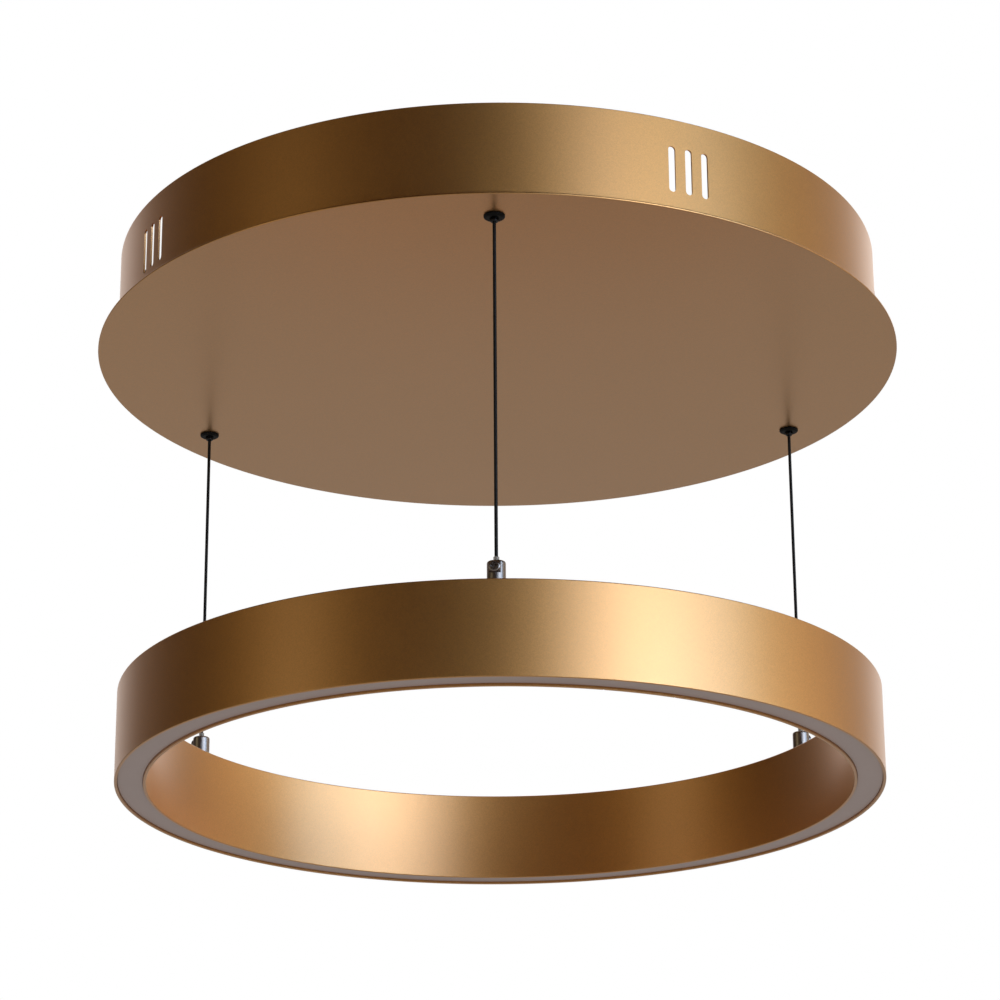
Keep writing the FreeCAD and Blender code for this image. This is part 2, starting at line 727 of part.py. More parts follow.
def terminal_block():
    """A three-pole screw terminal, notched between its poles."""
    body = block("terminal_body", size("block_deep"), size("block_wide"), size("block_high"),
                 terminal_x, driver_y, plate_top)
    notch = size("block_wide") / 3 - size("pole_width")
    notches = [block(f"terminal_notch_{side}", size("block_deep"), notch, size("pole_recess"),
                     terminal_x, driver_y + size("block_wide") * (side / 6),
                     plate_top + size("block_high") - size("pole_recess")) for side in (-1, 1)]
    sub_part(cut("terminal_block", body, *notches), "terminal_block")


def earth_lug():
    """A ring tongue on the earth stud, with its crimp towards the terminal block."""
    ring = prism("lug_ring", ROUND_SIDES, size("lug_dia") / 2, size("lug_thick"))
    crimp = block("lug_crimp", size("lug_dia") / 2, size("crimp_reach"), size("lug_thick"),
                  y=size("crimp_reach"))
    way = bore("lug_way", CORE_SIDES, size("stud_dia") / 2 + size("slide_gap"),
               size("lug_thick"))
    lug = cut("earth_lug", fused("lug_whole", ring, crimp), way)
    sub_part(place(lug, terminal_x, earth_y, plate_top), "earth_lug")


def supply_leads():
    """Live and neutral from the terminal block to the driver, and earth down on to the lug."""
    block_side, driver_end = terminal_x + size("block_deep") / 2, driver_x - driver_side
    lift = plate_top + size("lead_lift")
    made = []
    for name, side in (("live", 1), ("neutral", -1)):
        y = driver_y + size("lead_space") * (side / 2)
        made.append(tube(f"supply_lead_{name}", [(block_side, y, lift), (driver_end, y, lift)], [],
                         size("lead_dia")))
    crimp_y = earth_y + size("crimp_reach")
    made.append(tube("supply_lead_earth", [
        (terminal_x, terminal_front, lift), (terminal_x, crimp_y, lift),
        (terminal_x, crimp_y, plate_top + size("lug_thick"))], [size("earth_bend")],
        size("lead_dia")))
    sub_part(group("supply_leads", made), "supply_leads")


hank_radius = hang_radius - size("hank_inset")
hank_side = hank_radius * math.cos(math.radians(HANGERS["right"]))
hank_back = hank_radius * math.sin(math.radians(HANGERS["right"]))
hank_lean = math.tan(math.radians(HANGERS["right"]))


def output_leads():
    """From the driver's right end to the right hank, and round behind the driver to the left one."""
    lift, landing = plate_top + size("output_lift"), plate_top + size("hank_height")
    driver_end = driver_x + driver_side
    y_right = driver_y - size("output_space") / 2
    x_right = hank_side + (hank_back - y_right) * hank_lean
    right = tube("output_lead_right", [
        (driver_end, y_right, lift), (x_right, y_right, lift), (x_right, y_right, landing)],
        [size("output_bend")], size("wire_dia"))
    y_start = driver_y + size("output_space") / 2
    y_back = driver_y + size("output_back")
    x_turn = driver_end + size("lead_reach")
    x_left = -(hank_side + (hank_back - y_back) * hank_lean)
    left = tube("output_lead_left", [
        (driver_end, y_start, lift), (x_turn, y_start, lift), (x_turn, y_back, lift),
        (x_left, y_back, lift), (x_left, y_back, landing)],
        [size("lead_bend"), size("lead_bend"), size("output_bend")], size("wire_dia"))
    sub_part(group("output_leads", [right, left]), "output_leads")


# ---- ring ----

def ring_profile():
    """A rolled aluminium section: two walls and a web, with a hole for each feed lead."""
    inner, outer = size("ring_dia") / 2 - size("ring_width"), size("ring_dia") / 2
    left, right = channel_inner, channel_outer
    under, over = size("web_lift"), size("web_lift") + size("web_thick")
    full = size("ring_height")
    body = revolved("ring_section", [
        (inner, 0), (left, 0), (left, under), (right, under), (right, 0), (outer, 0),
        (outer, full), (right, full), (right, over), (left, over), (left, full), (inner, full)])
    place(body, z=ring_foot)
    holes = []
    for name in ("left", "right"):
        hole = bore(f"feed_hole_{name}", CORE_SIDES, size("feed_dia") / 2 + size("free_gap"),
                    size("web_thick"), y=size("feed_run"))
        holes.append(hung(group(f"feed_hole_at_{name}", [hole]), HANGERS[name], web_under))
    sub_part(cut("ring_profile", body, *holes), "ring_profile")


def ring_top_cover():
    inner, outer = channel_inner + size("cover_gap"), channel_outer - size("cover_gap")
    body = revolved("cover_body", [(inner, 0), (outer, 0), (outer, size("cover_thick")),
                                   (inner, size("cover_thick"))])
    place(body, z=cover_under)
    holes = [hung(bore(f"cover_hole_{name}", CORE_SIDES, size("stem_dia") / 2 + size("free_gap"),
                       size("cover_thick")), azimuth, cover_under)
             for name, azimuth in HANGERS.items()]
    sub_part(cut("ring_top_cover", body, *holes), "ring_top_cover")


def diffuser():
    """A flat opal ring, bonded between the walls just above their edges."""
    inner, outer = channel_inner + size("cover_gap"), channel_outer - size("cover_gap")
    thick = size("diffuser_thick")
    body = revolved("diffuser", [(inner, 0), (outer, 0), (outer, thick), (inner, thick)])
    sub_part(place(body, z=ring_foot + size("diffuser_recess")), "diffuser")


def led_boards():
    """Six boards of four straight lengths each, end to end under the web."""
    half, thick = size("board_width") / 2, size("board_thick")
    outer = prism("board_rim", BOARD_SIDES, hang_radius + half, thick)
    inner = prism("board_middle", BOARD_SIDES, hang_radius - half, thick)
    gaps = []
    for number in range(BOARDS):
        gap = block(f"board_gap_{number}", hang_radius * 2, size("board_gap"), thick,
                    x=hang_radius)
        gaps.append(place(group(f"board_gap_at_{number}", [gap]),
                          rotation=turned(360.0 / BOARDS * number)))
    ring = cut("board_ring", outer, inner)
    sub_part(place(cut("led_boards", ring, fused("board_gaps", *gaps)), z=web_under - thick),
             "led_boards")


def leds():
    """The LEDs, evenly along each board."""
    count = BOARDS * LEDS_PER_BOARD
    body = doc.addObject("PartDesign::Body", "leds")
    outer, inner = hang_radius + size("led_width") / 2, hang_radius - size("led_width") / 2
    half = size("led_length") / 2
    # the outline's corners stay on the positive side of the body's axes, which lie half an LED back
    sketch = outline_sketch(body, "XY_Plane", [(inner, 0), (outer, 0), (outer, half * 2),
                                               (inner, half * 2)])
    pad = body.newObject("PartDesign::Pad", "one_led")
    pad.Profile = sketch
    bind(pad, "Length", size("led_height"))
    body.Tip = pad
    repeated(body, pad, sketch, count)
    centring = math.degrees(half.value / hang_radius.value)
    azimuth = 180.0 / count - centring
    sub_part(place(body, z=web_under - size("board_thick") - size("led_height"),
                   rotation=turned(azimuth)), "leds")


def profile_joiner():
    """A curved plate on the web behind the profile's butt joint."""
    wrap = length(math.degrees(size("joiner_length").value / hang_radius.value))
    outer = cylinder("joiner_disc", hang_radius + size("joiner_width") / 2,
                     size("joiner_thick"), angle=wrap)
    inner = cylinder("joiner_middle", hang_radius - size("joiner_width") / 2,
                     size("joiner_thick"), angle=wrap)
    sub_part(place(cut("profile_joiner", outer, inner), z=web_top,
                   rotation=turned(JOINT_AZIMUTH - wrap.value / 2)), "profile_joiner")


def cable_fitting(name):
    """A nickel cylinder with a stem, a bore for the wire and a flat for the clamp screw's head."""
    stem_length = cover_top - web_top - size("free_gap")
    full = size("fitting_height") + size("cover_recess")
    outer = size("fitting_dia") / 2
    body = fused(name + "_turned", cylinder(name + "_body", outer, full, z=stem_length),
                 prism(name + "_stem", CORE_SIDES, size("stem_dia") / 2, stem_length))
    way = bore(name + "_bore", CORE_SIDES, size("fitting_bore") / 2, full - size("fitting_floor"),
               z=stem_length + size("fitting_floor"))
    screw_height = stem_length + size("cover_recess") + size("clamp_lift")
    flat = size("clamp_head_dia") + size("free_gap") * 2
    seat = block(name + "_flat", outer, outer * 2, flat, size("clamp_seat") + outer / 2, 0.0,
                 screw_height - flat / 2)
    screw_way = bore(name + "_screw_way", CORE_SIDES, size("clamp_dia") / 2, outer, 0.0, 0.0,
                     screw_height, along("+X"))
    return cut(name, body, way, seat, screw_way)


def clamp_screw(name):
    """A pan-headed screw that holds the stripped wire in the fitting."""
    tip = size("conductor_dia") / 2 + size("slide_gap")
    shank = prism(name + "_shank", CORE_SIDES, size("clamp_dia") / 2 - size("slide_gap"),
                  size("clamp_seat") - tip, tip, 0.0, 0.0, along("+X"))
    head = prism(name + "_head", ROUND_SIDES, size("clamp_head_dia") / 2,
                 size("clamp_head_height"), size("clamp_seat"), 0.0, 0.0, along("+X"))
    return fused(name, shank, head)


def wire_end(name):
    return prism(name, CORE_SIDES, size("conductor_dia") / 2, size("conductor_length"))


def hanger_block(name):
    """An insulating block in the curved profile, under the cover, which holds the stem's nut."""
    bulge = size("block_length") * size("block_length") / (channel_outer * 8)
    wide = channel_outer - channel_inner - (size("block_gap") + bulge) * 2
    high = cover_under - web_top - size("block_gap") / 2
    body = block(name + "_body", wide, size("block_length"), high)
    pocket = prism(name + "_pocket", 6, (size("stem_nut_flats") + size("free_gap") * 2)
                   / math.sqrt(3), size("stem_nut_height") + size("free_gap"))
    way = bore(name + "_way", CORE_SIDES, size("stem_dia") / 2 + size("free_gap"), high)
    return cut(name, body, pocket, way)


def stem_nut(name):
    return nut(name, size("stem_nut_flats"), size("stem_nut_height"),
               size("stem_dia") / 2 + size("slide_gap"))


def feed_leads():
    """From two of the blocks down through the web to the LED boards."""
    lift = size("block_length") / 4
    made = []
    for name in ("left", "right"):
        lead = tube(f"feed_lead_{name}", [
            (0, size("block_length") / 2, lift), (0, size("feed_run"), lift),
            (0, size("feed_run"), -size("web_thick"))], [size("feed_bend")], size("feed_dia"))
        made.append(hung(lead, HANGERS[name], web_top))
    sub_part(group("feed_leads", made), "feed_leads")


canopy_plate()
canopy_drum()
ceiling_strap()
side_screws()
at_each_hanger("gripper_barrels", gripper_barrel, plate_under)
at_each_hanger("gripper_flanges", gripper_flange, flange_under)
at_each_hanger("gripper_nuts", gripper_nut, plate_top)
for hanger, direction in HANGERS.items():
    release_nipple(f"release_nipple_{hanger}", direction)
    grip_jaws(f"grip_jaws_{hanger}", direction)
    grip_spring(f"grip_spring_{hanger}", direction)
    suspension_wire(f"wire_{hanger}", direction)
    wire_sleeve(f"wire_sleeve_{hanger}", direction)
at_each_hanger("wire_tails", wire_tail, wire_mouth)
at_each_hanger("spare_hanks", spare_hank, plate_top)
at_each_hanger("hank_ties", hank_tie, plate_top)
driver_base()
driver_lid()
plate_studs()
stud_nuts()
terminal_block()
earth_lug()
supply_leads()
output_leads()
ring_profile()
ring_top_cover()
diffuser()
led_boards()
leds()
profile_joiner()
at_each_hanger("cable_fittings", cable_fitting, web_top + size("free_gap"))
at_each_hanger("clamp_screws", clamp_screw, ring_top + size("clamp_lift"))
at_each_hanger("wire_ends", wire_end, fitting_top - size("conductor_length"))
at_each_hanger("hanger_blocks", hanger_block, web_top)
at_each_hanger("stem_nuts", stem_nut, web_top + size("free_gap") / 2)
feed_leads()

doc.recompute()
for item in doc.Objects:
    if "Invalid" in item.State or "Error" in item.State:
        raise RuntimeError(f"{item.Label} wasn't built: {item.State}")
for item in sub_parts:
    if item.Shape.isNull() or not item.Shape.isValid():
        raise RuntimeError(f"{item.Label} has no valid shape")

os.makedirs("parts", exist_ok=True)
for item in sub_parts:
    item.Shape.exportStep(f"parts/{item.Label}.step")
    print(f"{item.Label}: {len(item.Shape.Solids)} solids, {item.Shape.Volume:.1f} mm3")
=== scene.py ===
"""Looks of a ring chandelier: a gold canopy, three thin wires and a slim LED ring.

Lengths in the makers below are in millimetres, and become metres in `piece` and `strand`. A hanger is one
of the three places where a wire hangs; its own +X points away from the lamp's middle.
"""

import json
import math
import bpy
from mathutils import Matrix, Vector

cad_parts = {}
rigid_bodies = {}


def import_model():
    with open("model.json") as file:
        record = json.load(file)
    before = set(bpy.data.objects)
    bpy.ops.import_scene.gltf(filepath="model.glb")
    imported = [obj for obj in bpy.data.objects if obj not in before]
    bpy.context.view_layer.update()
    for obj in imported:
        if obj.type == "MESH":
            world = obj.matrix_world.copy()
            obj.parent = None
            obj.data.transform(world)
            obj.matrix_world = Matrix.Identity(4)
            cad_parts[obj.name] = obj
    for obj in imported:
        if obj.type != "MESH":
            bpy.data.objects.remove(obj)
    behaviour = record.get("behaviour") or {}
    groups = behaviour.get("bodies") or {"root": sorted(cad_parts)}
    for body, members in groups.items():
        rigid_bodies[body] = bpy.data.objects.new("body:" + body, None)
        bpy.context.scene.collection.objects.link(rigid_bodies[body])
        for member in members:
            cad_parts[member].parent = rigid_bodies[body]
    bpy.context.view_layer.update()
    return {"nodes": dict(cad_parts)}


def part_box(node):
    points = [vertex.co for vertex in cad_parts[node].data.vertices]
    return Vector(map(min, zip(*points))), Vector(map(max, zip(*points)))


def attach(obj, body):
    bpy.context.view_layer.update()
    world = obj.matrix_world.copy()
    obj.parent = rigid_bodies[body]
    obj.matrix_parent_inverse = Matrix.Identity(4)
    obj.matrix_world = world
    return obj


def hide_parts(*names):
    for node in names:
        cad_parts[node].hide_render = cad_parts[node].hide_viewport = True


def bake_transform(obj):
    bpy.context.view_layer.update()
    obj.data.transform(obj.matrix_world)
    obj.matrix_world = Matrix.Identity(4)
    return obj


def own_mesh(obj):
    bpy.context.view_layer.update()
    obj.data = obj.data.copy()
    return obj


bl_info = {
    "name": "Ring chandelier",
    "version": (1, 0, 0),
    "blender": (4, 5, 0),
    "location": "View3D > Sidebar > Ring chandelier",
    "description": "Builds the looks of a ring chandelier on three wires",
    "category": "Object",
}

import bmesh
import bpy
import numpy as np
from bpy.props import FloatProperty, FloatVectorProperty, IntProperty, PointerProperty
from mathutils import Matrix, Vector

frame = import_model()
# azimuths of the wires in degrees
HANGERS = {"near": -90.0, "right": 30.0, "left": 150.0}
# height of the canopy plate's upper side, and the middles of the driver and of the terminal block on it
PLATE_TOP = -55.8
DRIVER, TERMINALS = (12.0, 76.0), (-94.0, 76.0)


def edge(node, corner, axis):
    """One side of a node's box, in millimetres."""
    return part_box(node)[corner][axis] * 1000.0


# ---- what a user may change ----

def size(text, value, low=0.0):
    return FloatProperty(name=text.capitalize(), description=text, default=value, min=low)


def paint(text, value):
    return FloatVectorProperty(name=text.capitalize(), description=text, default=value, size=3,
                               subtype="COLOR", min=0.0, max=1.0)


class CanopySizes(bpy.types.PropertyGroup):
    plate_radius: size("radius of the canopy plate, in millimetres", edge("canopy_plate", 1, 0))
    plate_foot: size("height of the plate's underside", edge("canopy_plate", 0, 2), -1000.0)
    plate_top: size("height of the plate's upper side", edge("canopy_plate", 1, 2), -1000.0)
    drum_radius: size("outer radius of the rolled wall", edge("canopy_drum", 1, 0))
    wall: size("thickness of the rolled wall's sheet", 1.0)
    slot_width: size("width of a vent slot", 4.0)
    slot_length: size("length of a vent slot", 26.0)
    slot_lift: size("slots' lower ends above the underside of the plate", 15.5)
    slot_turn: size("degrees between neighbouring slots", 2.62)
    first_group: size("azimuth of the first group of slots, in degrees", -62.0, -360.0)
    group_turn: size("degrees between neighbouring groups", 88.0)
    columns: IntProperty(name="Columns", description="points round the canopy", default=512, min=64)


class HangerSizes(bpy.types.PropertyGroup):
    radius: size("distance of the wires from the lamp's axis", 199.0)
    wire: size("diameter of a wire", 1.8)
    mouth: size("height of the nipple's mouth", edge("release_nipple_near", 0, 2), -1000.0)
    fitting_top: size("height of the fitting's top", edge("cable_fittings", 1, 2), -1000.0)
    fitting_foot: size("height at which a fitting stands on the cover", edge("ring_top_cover", 1, 2), -1000.0)
    fitting_radius: size("radius of a fitting", 4.7)
    seat: size("fitting's axis to the seat of its screw", 3.6)
    screw_height: size("height of the clamp screw's axis", -248.0, -1000.0)


class RingSizes(bpy.types.PropertyGroup):
    outer: size("outer radius of the ring", edge("ring_profile", 1, 0))
    width: size("width of the profile", 17.0)
    wall: size("thickness of the profile's walls", 1.6)
    foot: size("height of the walls' lower edges", edge("ring_profile", 0, 2), -1000.0)
    top: size("height of the walls' upper edges", edge("ring_profile", 1, 2), -1000.0)
    web: size("height of the web's underside", edge("led_boards", 1, 2), -1000.0)
    columns: IntProperty(name="Columns", description="points round the ring", default=640, min=64)


class Finishes(bpy.types.PropertyGroup):
    gold: paint("satin gold lacquer", (0.62, 0.30, 0.078))
    nickel: paint("nickel plate", (0.30, 0.27, 0.255))
    # the opal's colour is darker than a white opal's: painted shade for the shade under the ring
    opal: paint("unlit opal acrylic", (0.53, 0.42, 0.395))
    black: paint("black moulded plastic", (0.005, 0.005, 0.005))


class StudioSettings(bpy.types.PropertyGroup):
    lens: size("camera's focal length", 118.33)
    panel_power: size("power of the soft lamp, in watts", 10.0)
    panel_azimuth: size("soft lamp, degrees to the right of the camera", 41.5, -180.0)
    panel_height: size("soft lamp, degrees above the lamp's middle", 8.0, -90.0)
    panel_distance: size("soft lamp's distance, in metres", 3.0)
    floor_height: size("height of the floor, in metres", -1.35, -100.0)


# ---- surfaces ----

# a corner takes up at most this share of its shorter side, and its flats are held at this share past it
CORNER_SHARE, HOLD_SHARE = 0.42, 0.12
# points closer than this are one, in metres
DOUBLES = 2e-7


def softened(points, radius, steps=4, loop=True):
    """A profile with rounded corners: each corner P becomes the curve (1-s)^2 A + 2s(1-s) P + s^2 B, where
    A and B lie at the radius from P on its two sides. A row just outside each of them keeps the flats flat."""
    p = np.asarray(points, float)
    back, ahead = np.roll(p, 1, 0) - p, np.roll(p, -1, 0) - p
    back_length = np.linalg.norm(back, axis=1)[:, None]
    ahead_length = np.linalg.norm(ahead, axis=1)[:, None]
    reach = np.minimum(np.broadcast_to(np.asarray(radius, float), (len(p),))[:, None],
                       CORNER_SHARE * np.minimum(back_length, ahead_length))
    if not loop:
        reach[[0, -1]] = 0.0
    back, ahead = back / back_length * reach, ahead / ahead_length * reach
    a, b = p + back, p + ahead
    s = np.linspace(0.0, 1.0, steps + 1)[None, :, None]
    curve = (1 - s) ** 2 * a[:, None] + 2 * s * (1 - s) * p[:, None] + s ** 2 * b[:, None]
    curve = np.concatenate([(a + back * HOLD_SHARE)[:, None], curve, (b + ahead * HOLD_SHARE)[:, None]], 1)
    return curve.reshape(-1, 2)


def even(columns):
    """Angles in equal steps round a full turn."""
    return np.linspace(0, 2 * np.pi, columns, endpoint=False)


def off(angles, centres):
    """How far each angle is from the nearest centre."""
    return np.abs((angles[:, None] - centres + np.pi) % (2 * np.pi) - np.pi).min(1)


def turned(r, z, turn):
    """Points at the distance r from the Z axis and the height z, at the angle `turn` round it."""
    return np.stack([r * np.cos(turn), r * np.sin(turn), z + 0 * turn], -1)


def carried(profile, turn):
    """Point (i, j) is the profile's point i, turned about Z by the angle j of `turn`."""
    return turned(profile[:, :1], profile[:, 1:], turn)


def lathe(profile, columns):
    return carried(np.asarray(profile, float), even(columns))


def woven(points, loop=False, keep=None):
    """The points of a grid, closed across its rows, and its four-sided faces from (i, j) to (i + 1, j + 1)."""
    rows, cols = points.shape[:2]
    i = np.arange(rows if loop else rows - 1)[:, None]
    j = np.arange(cols)[None, :]
    up, right = (i + 1) % rows, (j + 1) % cols
    faces = np.stack([i * cols + j, i * cols + right, up * cols + right, up * cols + j], -1)
    faces = faces.reshape(-1, 4) if keep is None else faces[keep]
    return points.reshape(-1, 3), faces


def spun(profile, columns, loop=True):
    """The surface of a profile turned about Z; the profile is closed where it is a loop."""
    return woven(lathe(profile, columns), loop)


def moved(surface, x=0.0, y=0.0, z=0.0, turn=0.0, laid=False):
    """A surface, whose own Z may first be laid along +X, turned about Z by degrees and shifted."""
    points, faces = surface
    if laid:
        points = points[:, [2, 0, 1]]
    c, s = math.cos(math.radians(turn)), math.sin(math.radians(turn))
    return points @ np.array([[c, s, 0], [-s, c, 0], [0, 0, 1]]) + (x, y, z), faces


def axis_of(azimuth):
    """Where a wire hangs, in x and y."""
    a, radius = math.radians(azimuth), bpy.context.scene.ring_hangers.radius
    return radius * math.cos(a), radius * math.sin(a)


def hung(surface, azimuth, z=0.0):
    """A surface put on a wire's axis with its own +X pointing outwards."""
    return moved(surface, *axis_of(azimuth), z, azimuth)


def hung_line(points, azimuth):
    return hung((np.asarray(points, float), None), azimuth)[0]


def at_hangers(surface, z=0.0):
    return [hung(surface, azimuth, z) for azimuth in HANGERS.values()]


def hexagon(flats, height, bore):
    """A nut: the radius at angle t is flats / 2 / cos(t), with t within 30 degrees of the nearest flat, and
    the ends fall by 0.577 of what the radius has over flats / 2, as a 30 degree chamfer does."""
    turn, lead = even(72), 0.25
    nothing = 0 * turn
    radius = flats / 2 / np.cos((turn + np.pi / 6) % (np.pi / 3) - np.pi / 6)
    fall = (radius - flats / 2) * 0.577
    ends = [nothing + bore, nothing + bore + lead, nothing + flats / 2 * 0.97]
    rises = [nothing + lead, nothing, nothing, fall]
    return woven(turned(np.stack([*ends, radius, radius, *ends[::-1]]),
                        np.stack([*rises, *[height - rise for rise in rises[::-1]]]), turn), loop=True)


def bar(length, width, height, corner, soft=0.6, steps=6):
    """A bar with rounded upright corners and softened ends: at angle t its outline is the rounded
    rectangle's, drawn in by the row's inset, and the rows rise from 0 to the height."""
    rows = softened([(corner * 0.98, 0.0), (0.0, 0.0), (0.0, height), (corner * 0.98, height)],
                    [0, soft, soft, 0], 4, loop=False)
    t = (np.arange(4)[:, None] * np.pi / 2 + np.linspace(0, np.pi / 2, steps)[None, :]).ravel()
    sx = np.repeat([1, -1, -1, 1], steps) * (length / 2 - corner)
    sy = np.repeat([1, 1, -1, -1], steps) * (width / 2 - corner)
    r = corner - rows[:, :1]
    points = np.stack([sx + r * np.cos(t), sy + r * np.sin(t), rows[:, 1:] + 0 * t], -1)
    cap = points[[0, -1]] * (0, 0, 1)
    return woven(np.concatenate([cap[:1], points, cap[1:]]))


def tube(line, radius, sides=16, up=(0.0, 0.0, 1.0)):
    """A round tube: at point i of the line, the circle radius * (cos a * u + sin a * v) stands across
    the line, where u is across both the line and the fixed direction `up`, and v across the line and u."""
    line = np.asarray(line, float)
    along = np.gradient(line, axis=0)
    along /= np.linalg.norm(along, axis=1)[:, None]
    u = np.cross(along, np.asarray(up, float))
    u /= np.linalg.norm(u, axis=1)[:, None]
    v = np.cross(along, u)
    a = even(sides)[None, :, None]
    radius = np.broadcast_to(np.asarray(radius, float), (len(line),))[:, None, None]
    points = line[:, None] + radius * (np.cos(a) * u[:, None] + np.sin(a) * v[:, None])
    caps = [np.broadcast_to(line[k], (1, sides, 3)) for k in (0, -1)]
    return woven(np.concatenate([caps[0], points, caps[1]]))


def added(name, data):
    """An object of the data, in the scene."""
    obj = bpy.data.objects.new(name, data)
    bpy.context.scene.collection.objects.link(obj)
    return obj


def filed(name, data, finish, body, replaces):
    """An object with its finish, its body and the CAD nodes that it stands for."""
    data.materials.append(finishes()[finish])
    obj = added(name, data)
    if body:
        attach(obj, body)
    if replaces:
        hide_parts(*replaces)
    return obj


def piece(name, surfaces, finish, body, replaces=(), sharp=38.0):
    """One mesh of several surfaces, with its doubles merged and its faces pointing outwards."""
    surfaces = surfaces if isinstance(surfaces, list) else [surfaces]
    start = np.cumsum([0] + [len(points) for points, _ in surfaces])
    mesh = bpy.data.meshes.new(name)
    mesh.from_pydata(np.concatenate([points for points, _ in surfaces]) / 1000.0, [],
                     np.concatenate([faces + k for (_, faces), k in zip(surfaces, start)]).tolist())
    work = bmesh.new()
    work.from_mesh(mesh)
    bmesh.ops.remove_doubles(work, verts=work.verts, dist=DOUBLES)
    bmesh.ops.recalc_face_normals(work, faces=work.faces)
    work.to_mesh(mesh)
    work.free()
    mesh.polygons.foreach_set("use_smooth", np.ones(len(mesh.polygons), bool))
    mesh.set_sharp_from_angle(angle=math.radians(sharp))
    return filed(name, mesh, finish, body, replaces)


def strand(name, points, diameter, finish, body, replaces=()):
    """A wire or lead: one open NURBS spline with a round bevel."""
    curve = bpy.data.curves.new(name, "CURVE")
    curve.dimensions = "3D"
    spline = curve.splines.new("NURBS")
    spline.points.add(len(points) - 1)
    spline.points.foreach_set("co", np.c_[np.asarray(points, float) / 1000.0, np.ones(len(points))].ravel())
    spline.order_u = 3
    spline.use_endpoint_u = True
    curve.resolution_u = 4
    curve.bevel_depth = diameter / 2000.0
    curve.bevel_resolution = 3
    curve.use_fill_caps = True
    return filed(name, curve, finish, body, replaces)


def say_cord(line):
    """Turns the line's first point into metres and keeps nothing: no cord is declared and no length is set."""
    tuple(line[0] / 1000)


# ---- finishes ----

class Value:
    """An output of a node tree. Arithmetic on it adds Math nodes."""

    def __init__(self, tree, socket):
        self.tree, self.socket = tree, socket

    def maths(self, operation, *others):
        return self.tree.node("Math", dict(enumerate((self, *others))), operation=operation)

    def __add__(self, other):
        return self.maths("ADD", other)

    def __sub__(self, other):
        return self.maths("SUBTRACT", other)

    def __mul__(self, other):
        return self.maths("MULTIPLY", other)

    __radd__ = __add__

    def step(self, low, high):
        """0 on low's side, 1 on high's side, and smooth between them."""
        return self.tree.node("MapRange", {"Value": self, "From Min": low, "From Max": high},
                              interpolation_type="SMOOTHSTEP")


class Tree:
    """The nodes of a material or a world."""

    def __init__(self, owner):
        owner.use_nodes = True
        self.nodes, self.links = owner.node_tree.nodes, owner.node_tree.links

    def node(self, kind, inputs=None, out=0, **settings):
        """A shader node: its settings are made first, then the values or links of its sockets."""
        made = self.nodes.new("ShaderNode" + kind)
        for key, value in settings.items():
            setattr(made, key, value)
        for key, value in (inputs or {}).items():
            self.link(made.inputs[key], value)
        return Value(self, made.outputs[out])

    def link(self, socket, value):
        if isinstance(value, Value):
            self.links.new(value.socket, socket)
        else:
            socket.default_value = (*value, 1.0) if socket.type == "RGBA" else value


class Finish(Tree):
    """One procedural material on Object coordinates. Scales are in cells or waves per metre."""

    def __init__(self, name, **plain):
        self.material = bpy.data.materials.new(name)
        super().__init__(self.material)
        self.shader = self.nodes["Principled BSDF"]
        self.place = self.node("TexCoord", out="Object")
        for socket, value in plain.items():
            self.set(socket.replace("_", " "), value)

    def set(self, socket, value):
        self.link(self.shader.inputs[socket], value)

    def noise(self, scale, detail=2.0, stretch=None):
        place = self.place
        if stretch:
            place = self.node("Mapping", {"Vector": place, "Scale": stretch})
        return self.node("TexNoise", {"Vector": place, "Scale": scale, "Detail": detail})

    def cells(self, scale):
        colour = self.node("TexVoronoi", {"Vector": self.place, "Scale": scale}, "Color")
        return self.node("SeparateColor", {0: colour})

    def axes(self):
        """Object coordinates as three numbers, in metres."""
        split = self.nodes.new("ShaderNodeSeparateXYZ")
        self.link(split.inputs[0], self.place)
        return [Value(self, one) for one in split.outputs]

    def finished(self, tone, colours, rough, *relief):
        """The material, with a tone from 0 to 1 between its two colours, its roughness, and the height
        from 0 to 1 of its relief, the depth in metres that this stands for and its strength."""
        one, other = colours
        self.set("Base Color", self.node("Mix", {0: tone, 6: one, 7: other}, 2, data_type="RGBA"))
        self.set("Roughness", rough)
        if relief:
            sockets = zip(("Height", "Distance", "Strength"), relief)
            self.set("Normal", self.node("Bump", dict(sockets)))
        return self.material


def shades(colour, *factors):
    return [tuple(min(1.0, c * factor) for c in colour) for factor in factors]


def gold_finish(name, colour, rough, sparkle=1.0):
    """Satin lacquer on metal: fine flakes under a clear coat, and a slow wave left by the rolling."""
    f = Finish(name, Metallic=1.0, Coat_Roughness=0.3, Coat_IOR=1.7)
    flake, fine, slow = f.cells(2300.0), f.noise(900.0, 3.0), f.noise(9.0)
    f.set("Coat Weight", 0.9 + (slow - 0.5) * 0.1)
    return f.finished(flake * 0.55 + fine * 0.3 + slow * 0.15, shades(colour, 0.84, 1.14),
                      rough + (flake - 0.5) * 0.1 + (slow - 0.5) * 0.06,
                      flake * 0.6 + fine * 0.4, 1.6e-5 * sparkle, 0.6)


def moulded(name, colour, rough, shine=0.35):
    """Moulded plastic: a fine spark-eroded grain and slightly uneven gloss."""
    f = Finish(name, Specular_IOR_Level=shine)
    fine, slow = f.noise(1400.0, 3.0), f.noise(60.0)
    return f.finished(slow, shades(colour, 0.93, 1.06), rough + (fine - 0.5) * 0.16, fine, 1.5e-5, 0.7)


def plated(name, colour, rough, scratch=(1.0, 1.0, 9.0)):
    """Plated metal: a cloudy tone, and fine turning or rolling lines across the direction of `scratch`."""
    f = Finish(name, Metallic=1.0)
    lines, cloud = f.noise(1500.0, 3.0, scratch), f.noise(140.0, 3.0)
    return f.finished(cloud, shades(colour, 0.88, 1.08),
                      rough + (cloud - 0.5) * 0.12 + (lines - 0.5) * 0.1, lines, 6e-6, 0.5)


